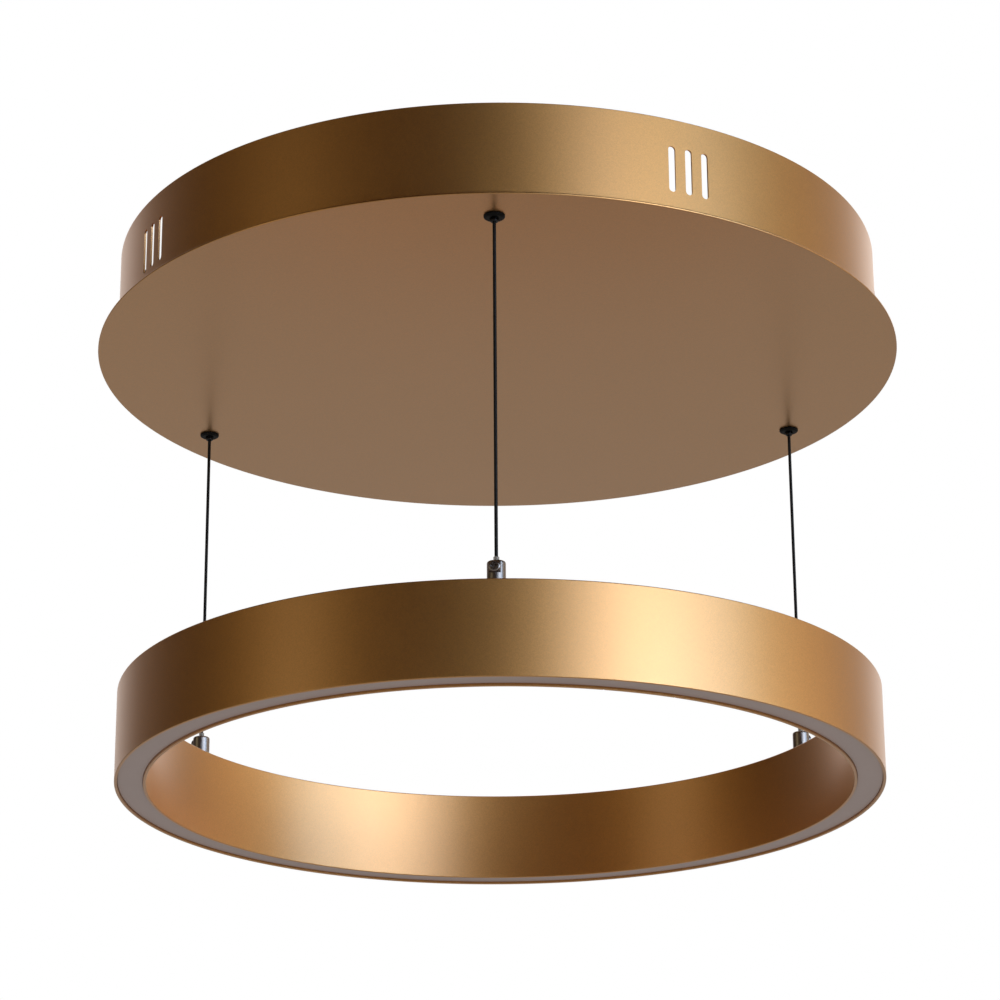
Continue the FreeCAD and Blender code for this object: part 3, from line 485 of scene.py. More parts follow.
def jacket(name, colour, rough=0.42):
    """A wire's or lead's insulation: extruded, with faint lengthwise bands and a dusty bloom."""
    f = Finish(name, Specular_IOR_Level=0.25)
    band, dust = f.noise(2600.0, 2.0, (1.0, 1.0, 0.03)), f.noise(420.0, 4.0)
    return f.finished((dust - 0.35).maths("MAXIMUM", 0.0) * 0.5, shades(colour, 1.0, 1.8),
                      rough + (dust - 0.5) * 0.2, band, 8e-6, 0.5)


def opal_finish(name, colour):
    """Opal acrylic, unlit: a waxy body with a slow cloudiness and a satin skin. Its colour is greyed below a
    white opal's as painted shade, for the shade under the ring.
    """
    f = Finish(name, Specular_IOR_Level=0.45)
    cloud, fine = f.noise(24.0, 3.0), f.noise(1800.0)
    return f.finished(cloud, shades(colour, 0.95, 1.04), 0.38 + (fine - 0.5) * 0.1, fine, 4e-6, 0.4)


def clear_finish(name):
    """Clear soft plastic: a greyish, half see-through tube with a glossy skin."""
    f = Finish(name, Specular_IOR_Level=0.6, Alpha=0.62)
    cloud = f.noise(700.0)
    f.material.surface_render_method = "BLENDED"
    return f.finished(cloud, ((0.36, 0.35, 0.33), (0.50, 0.49, 0.46)), 0.18 + cloud * 0.15)


def board_finish(name):
    """White solder mask over two round copper tracks, which show as faint raised bands."""
    f = Finish(name)
    x, y, _ = f.axes()
    middle = bpy.context.scene.ring_hangers.radius / 1000
    from_middle = ((x * x + y * y).maths("SQRT") - middle).maths("ABSOLUTE")
    track = (from_middle - 0.0033).maths("ABSOLUTE").step(0.0005, 0.0003)
    weave = f.noise(1200.0)
    return f.finished(track, ((0.80, 0.81, 0.78), (0.84, 0.83, 0.74)), 0.34 + (weave - 0.5) * 0.12,
                      track + weave * 0.1, 3e-5, 0.6)


def earth_finish(name):
    """Green insulation with yellow stripes along the lead."""
    f = Finish(name, Specular_IOR_Level=0.5)
    x, _, z = f.axes()
    stripe = ((x + z) * 3200.0).maths("SINE").step(-0.1, 0.1)
    return f.finished(stripe, ((0.03, 0.22, 0.06), (0.66, 0.52, 0.04)), 0.4 + (f.noise(900.0) - 0.5) * 0.15)


def finishes():
    """All finishes by name. They are made once."""
    if bpy.data.materials.get("gold_lacquer") is None:
        c = bpy.context.scene.ring_finishes
        finishes.made = dict(
            gold=gold_finish("gold_lacquer", c.gold, 0.44),
            gold_ring=gold_finish("gold_lacquer_ring", c.gold, 0.44),
            gold_plate=gold_finish("gold_lacquer_plate", c.gold, 0.34, 0.4),
            nickel=plated("nickel_plate", c.nickel, 0.36),
            zinc=plated("zinc_plate", (0.52, 0.53, 0.54), 0.34, (1.0, 14.0, 14.0)),
            steel=plated("blackened_steel", (0.30, 0.30, 0.30), 0.38),
            copper=plated("tinned_copper", (0.68, 0.52, 0.42), 0.36),
            black=moulded("black_plastic", c.black, 0.5, 0.12),
            black_metal=plated("black_plate", (0.035, 0.035, 0.038), 0.3),
            white=moulded("white_plastic", (0.78, 0.78, 0.76), 0.42),
            nylon=moulded("natural_nylon", (0.70, 0.68, 0.62), 0.48),
            wire=jacket("wire_jacket", (0.004, 0.004, 0.004), 0.6),
            brown=jacket("brown_insulation", (0.09, 0.035, 0.016)),
            blue=jacket("blue_insulation", (0.012, 0.05, 0.22)),
            earth=earth_finish("earth_insulation"),
            # the opal finish's greyed colour is painted shade
            opal=opal_finish("opal_in_painted_shade", c.opal),
            clear=clear_finish("clear_sleeve"),
            board=board_finish("solder_mask"),
            led_case=moulded("led_case", (0.82, 0.82, 0.80), 0.35),
            phosphor=moulded("led_phosphor", (0.74, 0.55, 0.07), 0.5),
        )
    return finishes.made


# ---- canopy ----

class RING_OT_canopy(bpy.types.Operator):
    """The canopy plate and the rolled wall with its vent slots"""
    bl_idname = "ring_lamp.canopy"
    bl_label = "Canopy"

    # width of the wall's inner flange, height of the side screws, and groups of slots with three in each
    FLANGE, SCREWS, GROUPS = 5.0, -14.0, 4

    def execute(self, context):
        s = context.scene.ring_canopy
        under, over, rim = s.plate_foot, s.plate_top, s.plate_radius
        disc = softened([(0, over), (0, under), (rim, under), (rim, over)], [0, 0, 0.45, 0.45])
        piece("canopy_pan", spun(np.roll(disc, -(len(disc) // 4), 0), s.columns), "gold_plate", "canopy",
              ["canopy_plate"])
        piece("canopy_wall", self.wall(s), "gold", "canopy", ["canopy_drum"])
        head = lathe(softened([(0, 1.4), (2.6, 1.4), (3.75, 0.5), (3.75, -0.4), (0, -0.4)],
                              [0, 0.4, 0.3, 0.1, 0], loop=False), 64)
        head[..., 2] -= cross_recess(head, 0.9, 0.34, 1.7)
        shank = softened([(0, 0), (1.9, 0), (1.9, -7.6), (1.5, -8), (0, -8)], 0.1, loop=False)
        screws = [moved(one, s.drum_radius, z=self.SCREWS, laid=True)
                  for one in (woven(head), spun(shank, 24, False))]
        piece("canopy_screws", screws + [moved(one, turn=180.0) for one in screws], "gold", "canopy",
              ["side_screws"])
        return {"FINISHED"}

    def wall(self, s):
        """A closed section carried round the axis. Its rows `low` and `high` part by
        straight / 2 + sqrt(r^2 - d^2) round each slot's middle, where d is the distance along the wall from
        the slot's middle line and r half its width. The faces between them are left out, and rims join the
        outer wall to the inner one there."""
        outer, inner, foot = s.drum_radius, s.drum_radius - s.wall, s.drum_radius - s.wall - self.FLANGE
        base, r = s.plate_top, s.slot_width / 2
        middle = s.plate_foot + s.slot_lift + s.slot_length / 2
        straight = s.slot_length / 2 - r
        group, number = np.divmod(np.arange(3 * self.GROUPS), 3)
        centres = np.radians(s.first_group - s.group_turn * group + s.slot_turn * (number - 1))
        across = r * np.sin(np.radians(np.linspace(-90, 90, 15)))
        plain = even(s.columns)
        turn = np.sort(np.concatenate([plain[off(plain, centres) * outer > r * 1.2],
                                       ((centres[:, None] + across / outer) % (2 * np.pi)).ravel()]))
        open_half = straight + np.sqrt(np.clip(r * r - (off(turn, centres) * outer) ** 2, 0, None))
        section = softened([(foot, base), (outer, base), (outer, 0), (inner, 0), (inner, base + s.wall),
                            (foot, base + s.wall)], [0.2, 0.3, 0.4, 0.4, 0.8, 0.3])
        per = len(section) // 6
        rows = carried(section, turn)
        low, high = middle - open_half, middle + open_half
        rows = np.concatenate([rows[:2 * per], [turned(outer, z, turn) for z in (low, high)],
                               rows[2 * per:4 * per], [turned(inner, z, turn) for z in (high, low)],
                               rows[4 * per:]])
        low_out, high_out, high_in, low_in = 2 * per, 2 * per + 1, 4 * per + 2, 4 * per + 3
        count, cols = rows.shape[:2]
        after = np.roll(turn, -1) + 2 * np.pi * (np.arange(cols) == cols - 1)
        holes = off((turn + after) / 2, centres) * outer < r
        keep = np.ones((count, cols), bool)
        keep[[low_out, high_in]] = ~holes
        points, faces = woven(rows, True, keep)
        j = np.flatnonzero(holes)
        n = (j + 1) % cols

        def rim(*corners):
            return np.stack([row * cols + column for row, column in corners], -1)

        rims = [rim((a, j), (a, n), (b, n), (b, j)) for a, b in ((low_out, low_in), (high_out, high_in))]
        rims += [rim((low_out, e), (high_out, e), (high_in, e), (low_in, e))
                 for e in (j[~holes[j - 1]], n[~holes[n]])]
        return points, np.concatenate([faces, *rims])


def cross_recess(face, depth, half, reach):
    """How far a screw's face sinks: `depth` where |x| < half and |y| < reach or the other way round, with
    sloping sides."""
    x, y = np.abs(face[..., 0]), np.abs(face[..., 1])

    def arm(a, b):
        return np.clip((half + 0.12 - a) / 0.24, 0, 1) * np.clip((reach - b) / 0.5, 0, 1)

    return depth * np.maximum(arm(x, y), arm(y, x))


# ---- hangers ----

class RING_OT_grippers(bpy.types.Operator):
    """The wire grippers in the canopy plate: flange, barrel, nut, spring and release nipple"""
    bl_idname = "ring_lamp.grippers"
    bl_label = "Wire grippers"

    # the spring's radius, wire, number of turns, lower end and height; the end turns lie flat
    SPRING = 2.5, 0.3, 6.0, -49.35, 5.95
    # the height of the spring's fixed end in metres, and the share of its length that is left when pressed
    SPRING_TOP, PRESSED = -0.0431, 0.77

    def execute(self, context):
        flange = softened([(2.1, -57.0), (2.1, -58.2), (2.5, -58.6), (4.4, -58.6), (5.5, -57.9), (5.5, -57.0)],
                          [0.05, 0.1, 0.15, 0.4, 0.35, 0.05])
        piece("gland_flanges", at_hangers(spun(flange, 72)), "black", "canopy", ["gripper_flanges"])
        barrel = softened([(2.75, -57.0), (2.75, -55.5), (3.3, -49.0), (3.3, -43.0), (1.1, -43.0),
                           (1.1, -41.0), (3.4, -41.0), (4.0, -41.6), (4.0, -57.0)], 0.2)
        piece("gripper_tubes", at_hangers(spun(barrel, 64)), "steel", "canopy", ["gripper_barrels"])
        piece("gripper_hex_nuts", at_hangers(hexagon(12.0, 4.0, 4.0), PLATE_TOP), "zinc", "canopy",
              ["gripper_nuts"], 25.0)
        nipple = softened([(1.1, -60.6), (1.75, -60.6), (2.05, -60.2), (2.05, -56.95), (2.6, -56.95),
                           (2.6, -55.8), (1.1, -55.8)], [0.15, 0.2, 0.2, 0.1, 0.1, 0.2, 0.1])
        radius, wire, turns, low, height = self.SPRING
        along = np.linspace(0, 1, 200) * turns
        coil = turned(radius, low + height * np.clip((along - 0.7) / (turns - 1.4), 0, 1), along * 2 * np.pi)
        for name, azimuth in HANGERS.items():
            piece(f"nipple_{name}", hung(spun(nipple, 48), azimuth), "black_metal", f"nipple_{name}",
                  [f"release_nipple_{name}"])
            spring = piece(f"spring_{name}", hung(tube(coil, wire, 8), azimuth), "zinc", "canopy",
                           [f"grip_spring_{name}"])
            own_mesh(spring)
        return {"FINISHED"}


class RING_OT_suspension(bpy.types.Operator):
    """The three wires with their sleeves, and the fittings and screws that hold the ring"""
    bl_idname = "ring_lamp.suspension"
    bl_label = "Suspension"

    # how far each fitting was turned when it was tightened, in degrees
    TWIST = {"near": -12.0, "right": 4.0, "left": -5.0}
    # how far a wire goes up into the nipple and down into the fitting
    UP, DOWN = 0.7, 0.8

    def execute(self, context):
        s = context.scene.ring_hangers
        mouth, end = s.mouth, s.fitting_top
        tail = softened([(0.95, -244.1), (1.5, -244.1), (1.5, -241.8), (0.95, -241.8)], 0.2)
        line = np.array([[0, 0, z] for z in (mouth + self.UP, mouth, end, end - self.DOWN)])
        core = softened([(0, end), (0.68, end), (0.68, end - 7.8), (0, end - 8)], 0.15, loop=False)
        fittings, screws, cores = [], [], []
        for name, azimuth in HANGERS.items():
            sleeve = piece(f"sleeve_{name}", hung(spun(tail, 40), azimuth), "clear", f"sleeve_{name}",
                           [f"wire_sleeve_{name}"])
            wire = piece(f"hanging_wire_{name}", hung(tube(line, s.wire / 2, 24, (1, 0, 0)), azimuth),
                         "wire", None, [f"wire_{name}"])
            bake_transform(wire)
            twist = self.TWIST[name]
            fittings.append(hung(moved(self.fitting(s), turn=twist), azimuth))
            screws += [hung(moved(moved(one, s.seat, laid=True), z=s.screw_height, turn=twist), azimuth)
                       for one in self.screw()]
            cores.append(hung(spun(core, 20, False), azimuth))
        piece("ring_fittings", fittings, "nickel", "ring", ["cable_fittings"], 30.0)
        piece("pan_screws", screws, "nickel", "ring", ["clamp_screws"], 30.0)
        piece("stripped_ends", cores, "copper", "ring", ["wire_ends"])
        return {"FINISHED"}

    @staticmethod
    def fitting(s):
        """A cylinder whose radius at angle t is the profile's, or seat / cos t where that is less and the
        row lies within the screw's flat, with a bore from above and a stem below."""
        foot, top, full = s.fitting_foot, s.fitting_top, s.fitting_radius
        low = s.screw_height - 3.2
        rise = softened([(0, foot - 17.6), (1.9, foot - 17.6), (1.9, foot), (full - 0.1, foot),
                         (full, foot + 0.4), (full, low)], [0, 0.3, 0.05, 0.2, 0.2, 0], loop=False)
        crown = softened([(full, low), (full, top), (1.3, top), (1.3, foot + 2.0), (0, foot + 2.0)],
                         [0, 1.1, 0.3, 0.2, 0], 6, loop=False)
        rows = np.concatenate([rise, crown])
        turn, faced = even(120), 0.3
        flat = np.where(np.cos(turn) > faced, s.seat / np.maximum(np.cos(turn), faced), np.inf)
        within = (np.arange(len(rows))[:, None] >= len(rise)) & (rows[:, :1] > 2.0)
        return woven(turned(np.where(within, np.minimum(rows[:, :1], flat), rows[:, :1]), rows[:, 1:], turn))

    @staticmethod
    def screw():
        """A pan head: a domed disc with a cross recess, and its shank."""
        flat, soft = 2.2, 0.9
        radii = np.r_[np.linspace(0, flat, 23), flat + soft * np.sin(np.radians(np.arange(10, 91, 10)))]
        past = (radii - flat).clip(0) / soft
        height = 2.0 - 0.07 * (radii / flat) ** 2 - soft * (1 - np.sqrt(np.clip(1 - past ** 2, 0, 1)))
        face = lathe(np.c_[radii, height], 96)
        face[..., 2] -= cross_recess(face, 1.1, 0.42, 1.75)
        skirt = lathe([(3.1, 1.03), (3.1, 0.12), (3.0, 0.0), (0, 0.0)], 96)
        shank = softened([(0, 0.2), (1.45, 0.2), (1.45, -2.6), (1.1, -2.85), (0, -2.85)], 0.1, loop=False)
        return woven(np.concatenate([face, skirt])), spun(shank, 24, False)


# ---- ring ----

class RING_OT_ring(bpy.types.Operator):
    """The rolled ring profile, its top cover and the opal diffuser"""
    bl_idname = "ring_lamp.ring"
    bl_label = "Ring"

    # azimuths of the two fine joints in the ring's wall, in degrees, and the half width of their grooves
    JOINTS, GROOVE = (-74.2, -62.8), 0.28
    # thickness of the web, and the gap between the walls and what lies between them
    WEB, GAP = 2.0, 0.1

    def execute(self, context):
        s = context.scene.ring_body
        out, mid_out = s.outer, s.outer - s.wall
        inner, mid_in = s.outer - s.width, s.outer - s.width + s.wall
        web, over = s.web, s.web + self.WEB
        section = softened([(inner, s.foot), (mid_in, s.foot), (mid_in, web), (mid_out, web), (mid_out, s.foot),
                            (out, s.foot), (out, s.top), (mid_out, s.top), (mid_out, over), (mid_in, over),
                            (mid_in, s.top), (inner, s.top)],
                           [0.45, 0.45, 0.6, 0.6, 0.45, 0.45, 0.5, 0.4, 0.6, 0.6, 0.4, 0.5])
        joints = np.radians(self.JOINTS)
        near = (np.linspace(-1, 1, 17)[None, :] * 0.9 / inner + joints[:, None]).ravel() % (2 * np.pi)
        plain = even(s.columns)
        turn = np.sort(np.concatenate([plain[off(plain, joints) * inner > 1.2], near]))
        rows = carried(section, turn)
        groove = np.exp(-(off(turn, joints) * inner / self.GROOVE) ** 2) * (section[:, 1:] < s.foot + 6.0)
        side = np.where(section[:, :1] < inner + s.wall / 2, 1.0, 0.0)
        rows[..., :2] *= (1 + 0.12 * groove * side / np.hypot(rows[..., 0], rows[..., 1]))[..., None]
        rows[..., 2] += 0.25 * groove * np.clip(1 - (section[:, 1:] - s.foot) / 0.5, 0, 1)
        piece("ring_shell", woven(rows, True), "gold_ring", "ring", ["ring_profile"])
        a, b = mid_in + self.GAP, mid_out - self.GAP
        for name, low, high, radius, finish, slot, node in (
                ("top_cover", -257.3, -255.9, 0.25, "gold", "gold_plastic", "ring_top_cover"),
                ("opal_lens", s.foot + 1.3, s.foot + 3.3, [0.35, 0.35, 0.2, 0.2], "opal", "opal", "diffuser")):
            band = softened([(a, low), (b, low), (b, high), (a, high)], radius)
            piece(name, spun(band, s.columns), finish, "ring", [node])
        return {"FINISHED"}


class RING_OT_ring_inside(bpy.types.Operator):
    """What the profile holds: LEDs, nuts on the stems and the feed leads"""
    bl_idname = "ring_lamp.ring_inside"
    bl_label = "Inside of the ring"

    LEDS = 48
    # the feed leads: distances along the ring and heights, and their diameter
    FEED = ((9.0, -268.1), (14.0, -268.1), (20.0, -268.1), (24.0, -268.1), (24.0, -272.0), (24.0, -275.5))
    FEED_DIAMETER = 1.6

    def execute(self, context):
        case = softened([(1.05, -276.9), (1.0, -277.35), (1.4, -277.4), (1.4, -276.6)], [0.05, 0.05, 0.08, 0])
        corners = np.radians([45, 135, 225, 315])
        box = turned(case[:, :1] * math.sqrt(2), case[:, 1:], corners) * (1, 1.25, 1)
        glow = np.concatenate([box[:1], box[:1] * (0, 0, 1)])
        pitch = 360.0 / self.LEDS
        places = [(k + 0.5) * pitch for k in range(self.LEDS)]
        piece("led_cases", [hung(woven(box), a) for a in places], "led_case", "ring", ["leds"])
        piece("led_windows", [hung(woven(glow), a) for a in places], "phosphor", "ring")
        piece("stem_hex_nuts", at_hangers(hexagon(7.0, 3.2, 2.05), -273.55), "zinc", "ring",
              ["stem_nuts"], 25.0)
        for name, nodes in (("right", ["feed_leads"]), ("left", ())):
            route = hung_line([(0, y, z) for y, z in self.FEED], HANGERS[name])
            strand(f"feed_wire_{name}", route, self.FEED_DIAMETER, "wire", "ring", nodes)
        return {"FINISHED"}


# ---- canopy's inside ----

class RING_OT_driver(bpy.types.Operator):
    """The LED driver's cover, the studs with their nuts, and the terminal block"""
    bl_idname = "ring_lamp.driver"
    bl_label = "Driver and terminals"

    # the studs' places in x and y, and how high their nuts lie on the plate
    STUDS = ((81.0, 76.0, 3.0), (-57.0, 76.0, 3.0), (-94.0, 39.0, 0.8))
    # the terminals' places along y from the block's middle
    POLES = (-10.0, 0.0, 10.0)

    def execute(self, context):
        x, y = DRIVER
        cover = [moved(bar(126.0, 42.0, 25.0, 2.0, 1.2), x, y, -52.8)]
        cover += [moved(bar(1.6, 30.0, 0.5, 0.7, 0.2), x + k * 4.0, y, -27.95) for k in range(-11, -3)]
        piece("driver_cover", cover, "white", "canopy", ["driver_lid"])
        thread = [(0, 0.0), *[(1.5 - 0.22 * (k % 2), 0.25 * k) for k in range(1, 36)], (1.2, 9.0), (0, 9.0)]
        piece("threaded_studs", [moved(spun(thread, 24, False), a, b, PLATE_TOP) for a, b, _ in self.STUDS],
              "zinc", "canopy", ["plate_studs"], 60.0)
        piece("stud_hex_nuts", [moved(hexagon(5.5, 2.4, 1.55), a, b, PLATE_TOP + c) for a, b, c in self.STUDS],
              "zinc", "canopy", ["stud_nuts"], 25.0)
        x, y = TERMINALS
        body = [moved(bar(18.0, 30.0, 9.6, 1.2, 0.5), x, y, PLATE_TOP)]
        body += [moved(bar(18.0, 8.0, 4.6, 0.8, 0.4), x, y + pole, -46.4) for pole in self.POLES]
        piece("terminal_body", body, "nylon", "canopy", ["terminal_block"])
        head = lathe(softened([(0, 0.35), (1.5, 0.35), (1.9, 0.0), (0, 0)], 0.1, loop=False), 48)
        head[..., 2] -= np.where((np.abs(head[..., 1]) < 0.3) & (head[..., 2] > 0.2), 0.3, 0.0)
        piece("terminal_screws", [moved(woven(head), x + side, y + pole, -41.9)
                                  for pole in self.POLES for side in (-5.0, 5.0)], "zinc", "canopy")
        return {"FINISHED"}


class RING_OT_leads(bpy.types.Operator):
    """The leads between terminals, driver and wires, and the spare wire in its hanks"""
    bl_idname = "ring_lamp.leads"
    bl_label = "Leads and spare wire"

    # diameter and height of the supply leads, and the place of the earth lug's crimp along y
    SUPPLY, SUPPLY_HEIGHT, CRIMP = 1.8, -49.3, 45.0
    # the output leads run flat at this height and then go down to the wires
    OUTPUT_HEIGHT, OUTPUT_ENDS = -40.8, (-45.0, -49.0)
    OUTPUTS = {
        "right": [(75.0, 68.0), (96.0, 68.0), (122.0, 68.0), (155.83, 68.0)],
        "left": [(75.0, 84.0), (86.0, 84.0), (97.0, 84.0), (97.0, 94.0), (97.0, 104.0), (84.0, 104.0),
                 (20.0, 104.0), (-70.0, 104.0), (-120.0, 104.0), (-135.05, 104.0)],
    }
    # the hank's middle from the wire's axis, half of its straight part, and its turns' radii and heights
    HANK, HALF = -30, 32.5
    TURNS = ((6.6, -51.0), (4.65, -51.0), (4.65, -52.95), (6.6, -52.95), (6.6, -54.9), (4.65, -54.9))

    def execute(self, context):
        s = context.scene.ring_hangers
        z = self.SUPPLY_HEIGHT
        for name, y, finish, nodes in (("live", 81.0, "brown", ["supply_leads"]),
                                       ("neutral", 71.0, "blue", ())):
            strand(f"supply_{name}", [(x, y, z) for x in (-85.0, -76.0, -60.0, -51.0)], self.SUPPLY, finish,
                   "canopy", nodes)
        earth = [(61.0, z), (54.0, z), (48.5, z), (self.CRIMP, z), (self.CRIMP, z - 3.0), (self.CRIMP, -55.0)]
        strand("supply_earth", [(TERMINALS[0], *spot) for spot in earth], self.SUPPLY, "earth", "canopy")
        for name, azimuth in HANGERS.items():
            line = hung_line(self.spare(), azimuth)
            wire = strand(f"spare_wire_{name}", line, s.wire, "wire", "canopy",
                          ["wire_tails", "spare_hanks"] if name == "near" else ())
            say_cord(line)
        piece("hank_straps", at_hangers(self.tie()), "black", "canopy", ["hank_ties"])
        for name, route in self.OUTPUTS.items():
            line = np.array([(*spot, self.OUTPUT_HEIGHT) for spot in route]
                            + [(*route[-1], end) for end in self.OUTPUT_ENDS])
            lead = strand(f"output_wire_{name}", line, s.wire, "wire", "canopy",
                          ["output_leads"] if name == "right" else ())
            say_cord(line)
        return {"FINISHED"}

    def spare(self):
        """The wire over from its gripper and round the hank. A turn is two straights of 65 and two half
        circles, 16 points in all, and moves to the next turn's radius and height on its first straight."""
        loops = [[(0, 0, -41.0), (0, 0, -34.0), (0, 0, -24.5), (-7.0, 0, -24.0), (-15.0, -1.0, -24.0),
                  (-22.0, -3.0, -26.0), (-23.4, -8.0, -38.0), (-23.4, -10.0, -50.6), (-23.4, -18.0, -51.0)]]
        x, half = self.HANK, self.HALF
        phase = np.array([0.3, 0.5, 0.75, 1.0])
        ease = phase * phase * (3 - 2 * phase)
        arc = np.radians(np.linspace(0, 180, 6)[1:-1])
        before = self.TURNS[0]
        for radius, height in self.TURNS:
            level = np.full(4, height)
            down = np.stack([x + before[0] + (radius - before[0]) * ease, half - phase * 2 * half,
                             before[1] + (height - before[1]) * ease], -1)
            end = np.stack([x + radius * np.cos(arc), -half - radius * np.sin(arc), level], -1)
            up = np.stack([np.full(4, x - radius), half * (2 * np.array([0.0, 0.3, 0.7, 1.0]) - 1), level], -1)
            head = np.stack([x - radius * np.cos(arc), half + radius * np.sin(arc), level], -1)
            loops += [down if len(loops) > 1 else down[2:], end, up, head]
            before = radius, height
        return np.concatenate(loops[:-1])

    def tie(self):
        """A flat strap round the hank: a closed rounded outline with a wall, carried along the hank."""
        outer = softened([(-8.4, -55.8), (8.4, -55.8), (8.4, -48.9), (-8.4, -48.9)], 2.2, 6)
        inner = softened([(-7.6, -55.7), (7.6, -55.7), (7.6, -49.7), (-7.6, -49.7)], 1.6, 6)
        sides = (outer, 18.5), (outer, 21.5), (inner, 21.5), (inner, 18.5)
        return woven(np.stack([np.insert(shape + (self.HANK, 0), 1, y, 1) for shape, y in sides]), True)


class RING_OT_carried(bpy.types.Operator):
    """Finishes for the pieces whose CAD shape is kept"""
    bl_idname = "ring_lamp.carried"
    bl_label = "Kept pieces"

    KEPT = dict(ceiling_strap="zinc", driver_base="white", earth_lug="copper", led_boards="board",
                profile_joiner="zinc", hanger_blocks="nylon", grip_jaws_near="zinc", grip_jaws_right="zinc",
                grip_jaws_left="zinc")

    def execute(self, context):
        for node, finish in self.KEPT.items():
            for place in frame["nodes"][node].material_slots:
                place.material = finishes()[finish]
        return {"FINISHED"}


# ---- stage ----

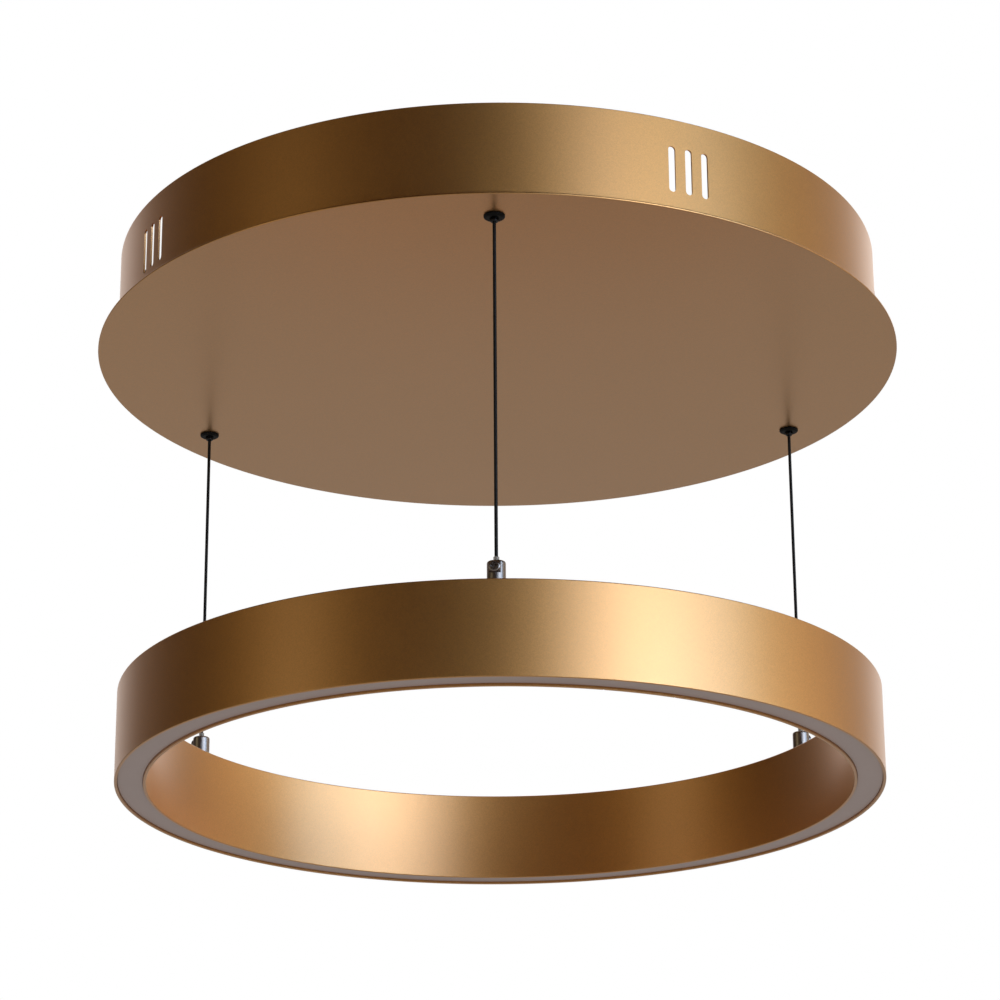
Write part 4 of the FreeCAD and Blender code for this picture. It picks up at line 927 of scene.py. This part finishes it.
class RING_OT_studio(bpy.types.Operator):
    """The camera, the soft lamp, the pale floor and the surroundings"""
    bl_idname = "ring_lamp.studio"
    bl_label = "Studio"

    # the camera's place in metres, and its pitch, yaw and roll in radians
    PLACE = (0.01054, -1.71829, -0.78169)
    PITCH, YAW, ROLL = 0.3588, -0.00562, -0.00644
    # the soft lamp's sides in metres, and the point that it faces
    PANEL, AIM = (1.2, 1.0), (0, 0, -0.2)
    # radii of the floor, and the distances in metres between which it grows white
    FLOOR, WHITENS = (0.0, 2000.0, 6000.0, 20000.0), (2.5, 9.0)
    # what plain surfaces get, and what shiny ones see behind the soft lights below
    EVEN, DARK, WHITE = (0.45, 0.44, 0.43), (0.03, 0.012, 0.004), (1.0, 1.0, 1.0)
    # azimuth and height of a soft round light, the angles from its middle between which it fades, and its
    # colour times its strength
    CARDS = ((-57.4, 6.6, 8.0, 22.0, (2.5, 3.1, 3.9)), (6.7, -16.4, 19.9, 43.3, (1.5, 1.2, 0.8)),
             (-29.9, -1.4, 3.0, 28.0, (3.4, 4.9, 7.0)), (-150.4, 4.3, 5.3, 18.5, (1.15, 1.0, 0.6)),
             (52.0, 33.0, 4.0, 36.0, (0.4, 0.38, 0.36)), (90.0, 33.0, 4.0, 47.0, (1.1, 1.0, 0.95)),
             (140.0, 30.0, 4.0, 24.0, (0.15, 0.13, 0.12)))

    def execute(self, context):
        s = context.scene.ring_studio
        context.scene.view_settings.view_transform = "Standard"
        self.camera(context.scene, s)
        self.lamp(s)
        self.surroundings(context.scene)
        self.floor(s)
        return {"FINISHED"}

    def camera(self, scene, s):
        pitch, yaw, roll = self.PITCH, self.YAW, self.ROLL
        ahead = Vector((math.sin(yaw) * math.cos(pitch), math.cos(yaw) * math.cos(pitch), math.sin(pitch)))
        right = Vector((math.cos(yaw), -math.sin(yaw), 0))
        up = right.cross(ahead)
        x = right * math.cos(roll) + up * math.sin(roll)
        y = up * math.cos(roll) - right * math.sin(roll)
        data = bpy.data.cameras.new("camera")
        data.lens, data.sensor_width = s.lens, 36.0
        data.clip_start, data.clip_end = 0.05, 100.0
        scene.camera = added("camera", data)
        turn = Matrix((x, y, -ahead)).transposed().to_4x4()
        scene.camera.matrix_world = Matrix.Translation(self.PLACE) @ turn

    def lamp(self, s):
        a, e = math.radians(s.panel_azimuth), math.radians(s.panel_height)
        away = Vector((math.sin(a) * math.cos(e), -math.cos(a) * math.cos(e), math.sin(e)))
        data = bpy.data.lights.new("soft_lamp", "AREA")
        data.shape, data.energy = "RECTANGLE", s.panel_power
        data.size, data.size_y = self.PANEL
        obj = added("soft_lamp", data)
        obj.rotation_euler = away.to_track_quat("Z", "Y").to_euler()
        obj.location = Vector(self.AIM) + away * s.panel_distance

    def surroundings(self, scene):
        """White to the camera. Shiny surfaces see soft lights in a dark room, and everything else gets an
        even light."""
        scene.world = bpy.data.worlds.new("studio")
        t = Tree(scene.world)
        t.nodes.clear()
        ray = t.nodes.new("ShaderNodeLightPath").outputs
        direction = t.node("TexCoord", out="Generated")
        tone = self.DARK
        for azimuth, height, inner, outer, colour in self.CARDS:
            a, e = math.radians(azimuth), math.radians(height)
            middle = (math.cos(e) * math.cos(a), math.cos(e) * math.sin(a), math.sin(e))
            near = t.node("VectorMath", {0: direction, 1: middle}, "Value", operation="DOT_PRODUCT")
            share = near.step(math.cos(math.radians(outer)), math.cos(math.radians(inner)))
            card = t.node("VectorMath", {0: colour, 3: share}, operation="SCALE")
            tone = t.node("VectorMath", {0: tone, 1: card}, operation="ADD")
        shiny = Value(t, ray["Is Glossy Ray"]).maths("MAXIMUM", Value(t, ray["Is Transmission Ray"]))
        plain, mirrored, white = [t.node("Background", {"Color": colour, "Strength": 1.0})
                                  for colour in (self.EVEN, tone, self.WHITE)]
        unseen = t.node("MixShader", {0: shiny, 1: plain, 2: mirrored})
        world = t.node("MixShader", {0: Value(t, ray["Is Camera Ray"]), 1: unseen, 2: white})
        t.link(t.nodes.new("ShaderNodeOutputWorld").inputs[0], world)

    def floor(self, s):
        """A wide pale disc that grows white with its distance."""
        points, faces = spun([(radius, 0.0) for radius in self.FLOOR], 64, False)
        mesh = bpy.data.meshes.new("floor")
        mesh.from_pydata(points / 1000 + (0, 0, s.floor_height), [], faces.tolist())
        f = Finish("pale_floor", Roughness=0.9, Base_Color=(0.78, 0.77, 0.75))
        x, y, _ = f.axes()
        far = (x * x + y * y).maths("SQRT").step(*self.WHITENS)
        share = far * f.node("LightPath", out="Is Camera Ray")
        glow = f.node("Emission", {"Color": self.WHITE, "Strength": 1.0})
        mix = f.node("MixShader", {0: share, 1: Value(f, f.shader.outputs[0]), 2: glow})
        f.link(f.nodes["Material Output"].inputs["Surface"], mix)
        mesh.materials.append(f.material)
        added("floor", mesh)


class RING_PT_panel(bpy.types.Panel):
    """Lists the sizes and the steps"""
    bl_label = "Ring chandelier"
    bl_idname = "RING_PT_panel"
    bl_space_type = "VIEW_3D"
    bl_region_type = "UI"
    bl_category = "Ring chandelier"

    def draw(self, context):
        for group in GROUPS:
            box = self.layout.box()
            box.label(text=group.replace("ring_", "").capitalize())
            settings = getattr(context.scene, group)
            for key in settings.__annotations__:
                box.prop(settings, key)
        for step in STEPS:
            self.layout.operator(step.bl_idname)


GROUPS = {"ring_canopy": CanopySizes, "ring_hangers": HangerSizes, "ring_body": RingSizes,
          "ring_finishes": Finishes, "ring_studio": StudioSettings}
STEPS = (RING_OT_studio, RING_OT_suspension, RING_OT_leads, RING_OT_canopy, RING_OT_grippers, RING_OT_ring,
         RING_OT_ring_inside, RING_OT_driver, RING_OT_carried)
CLASSES = (*GROUPS.values(), *STEPS, RING_PT_panel)


def register():
    for cls in CLASSES:
        bpy.utils.register_class(cls)
    for name, cls in GROUPS.items():
        setattr(bpy.types.Scene, name, PointerProperty(type=cls))


def unregister():
    for name in GROUPS:
        delattr(bpy.types.Scene, name)
    for cls in reversed(CLASSES):
        bpy.utils.unregister_class(cls)


def main():
    register()
    for old in list(bpy.data.objects):
        if old.type in ("LIGHT", "CAMERA") or old.name == "Cube":
            bpy.data.objects.remove(old, do_unlink=True)
    for step in STEPS:
        getattr(bpy.ops.ring_lamp, step.bl_idname.split(".")[1])()


if __name__ == "__main__":
    main()
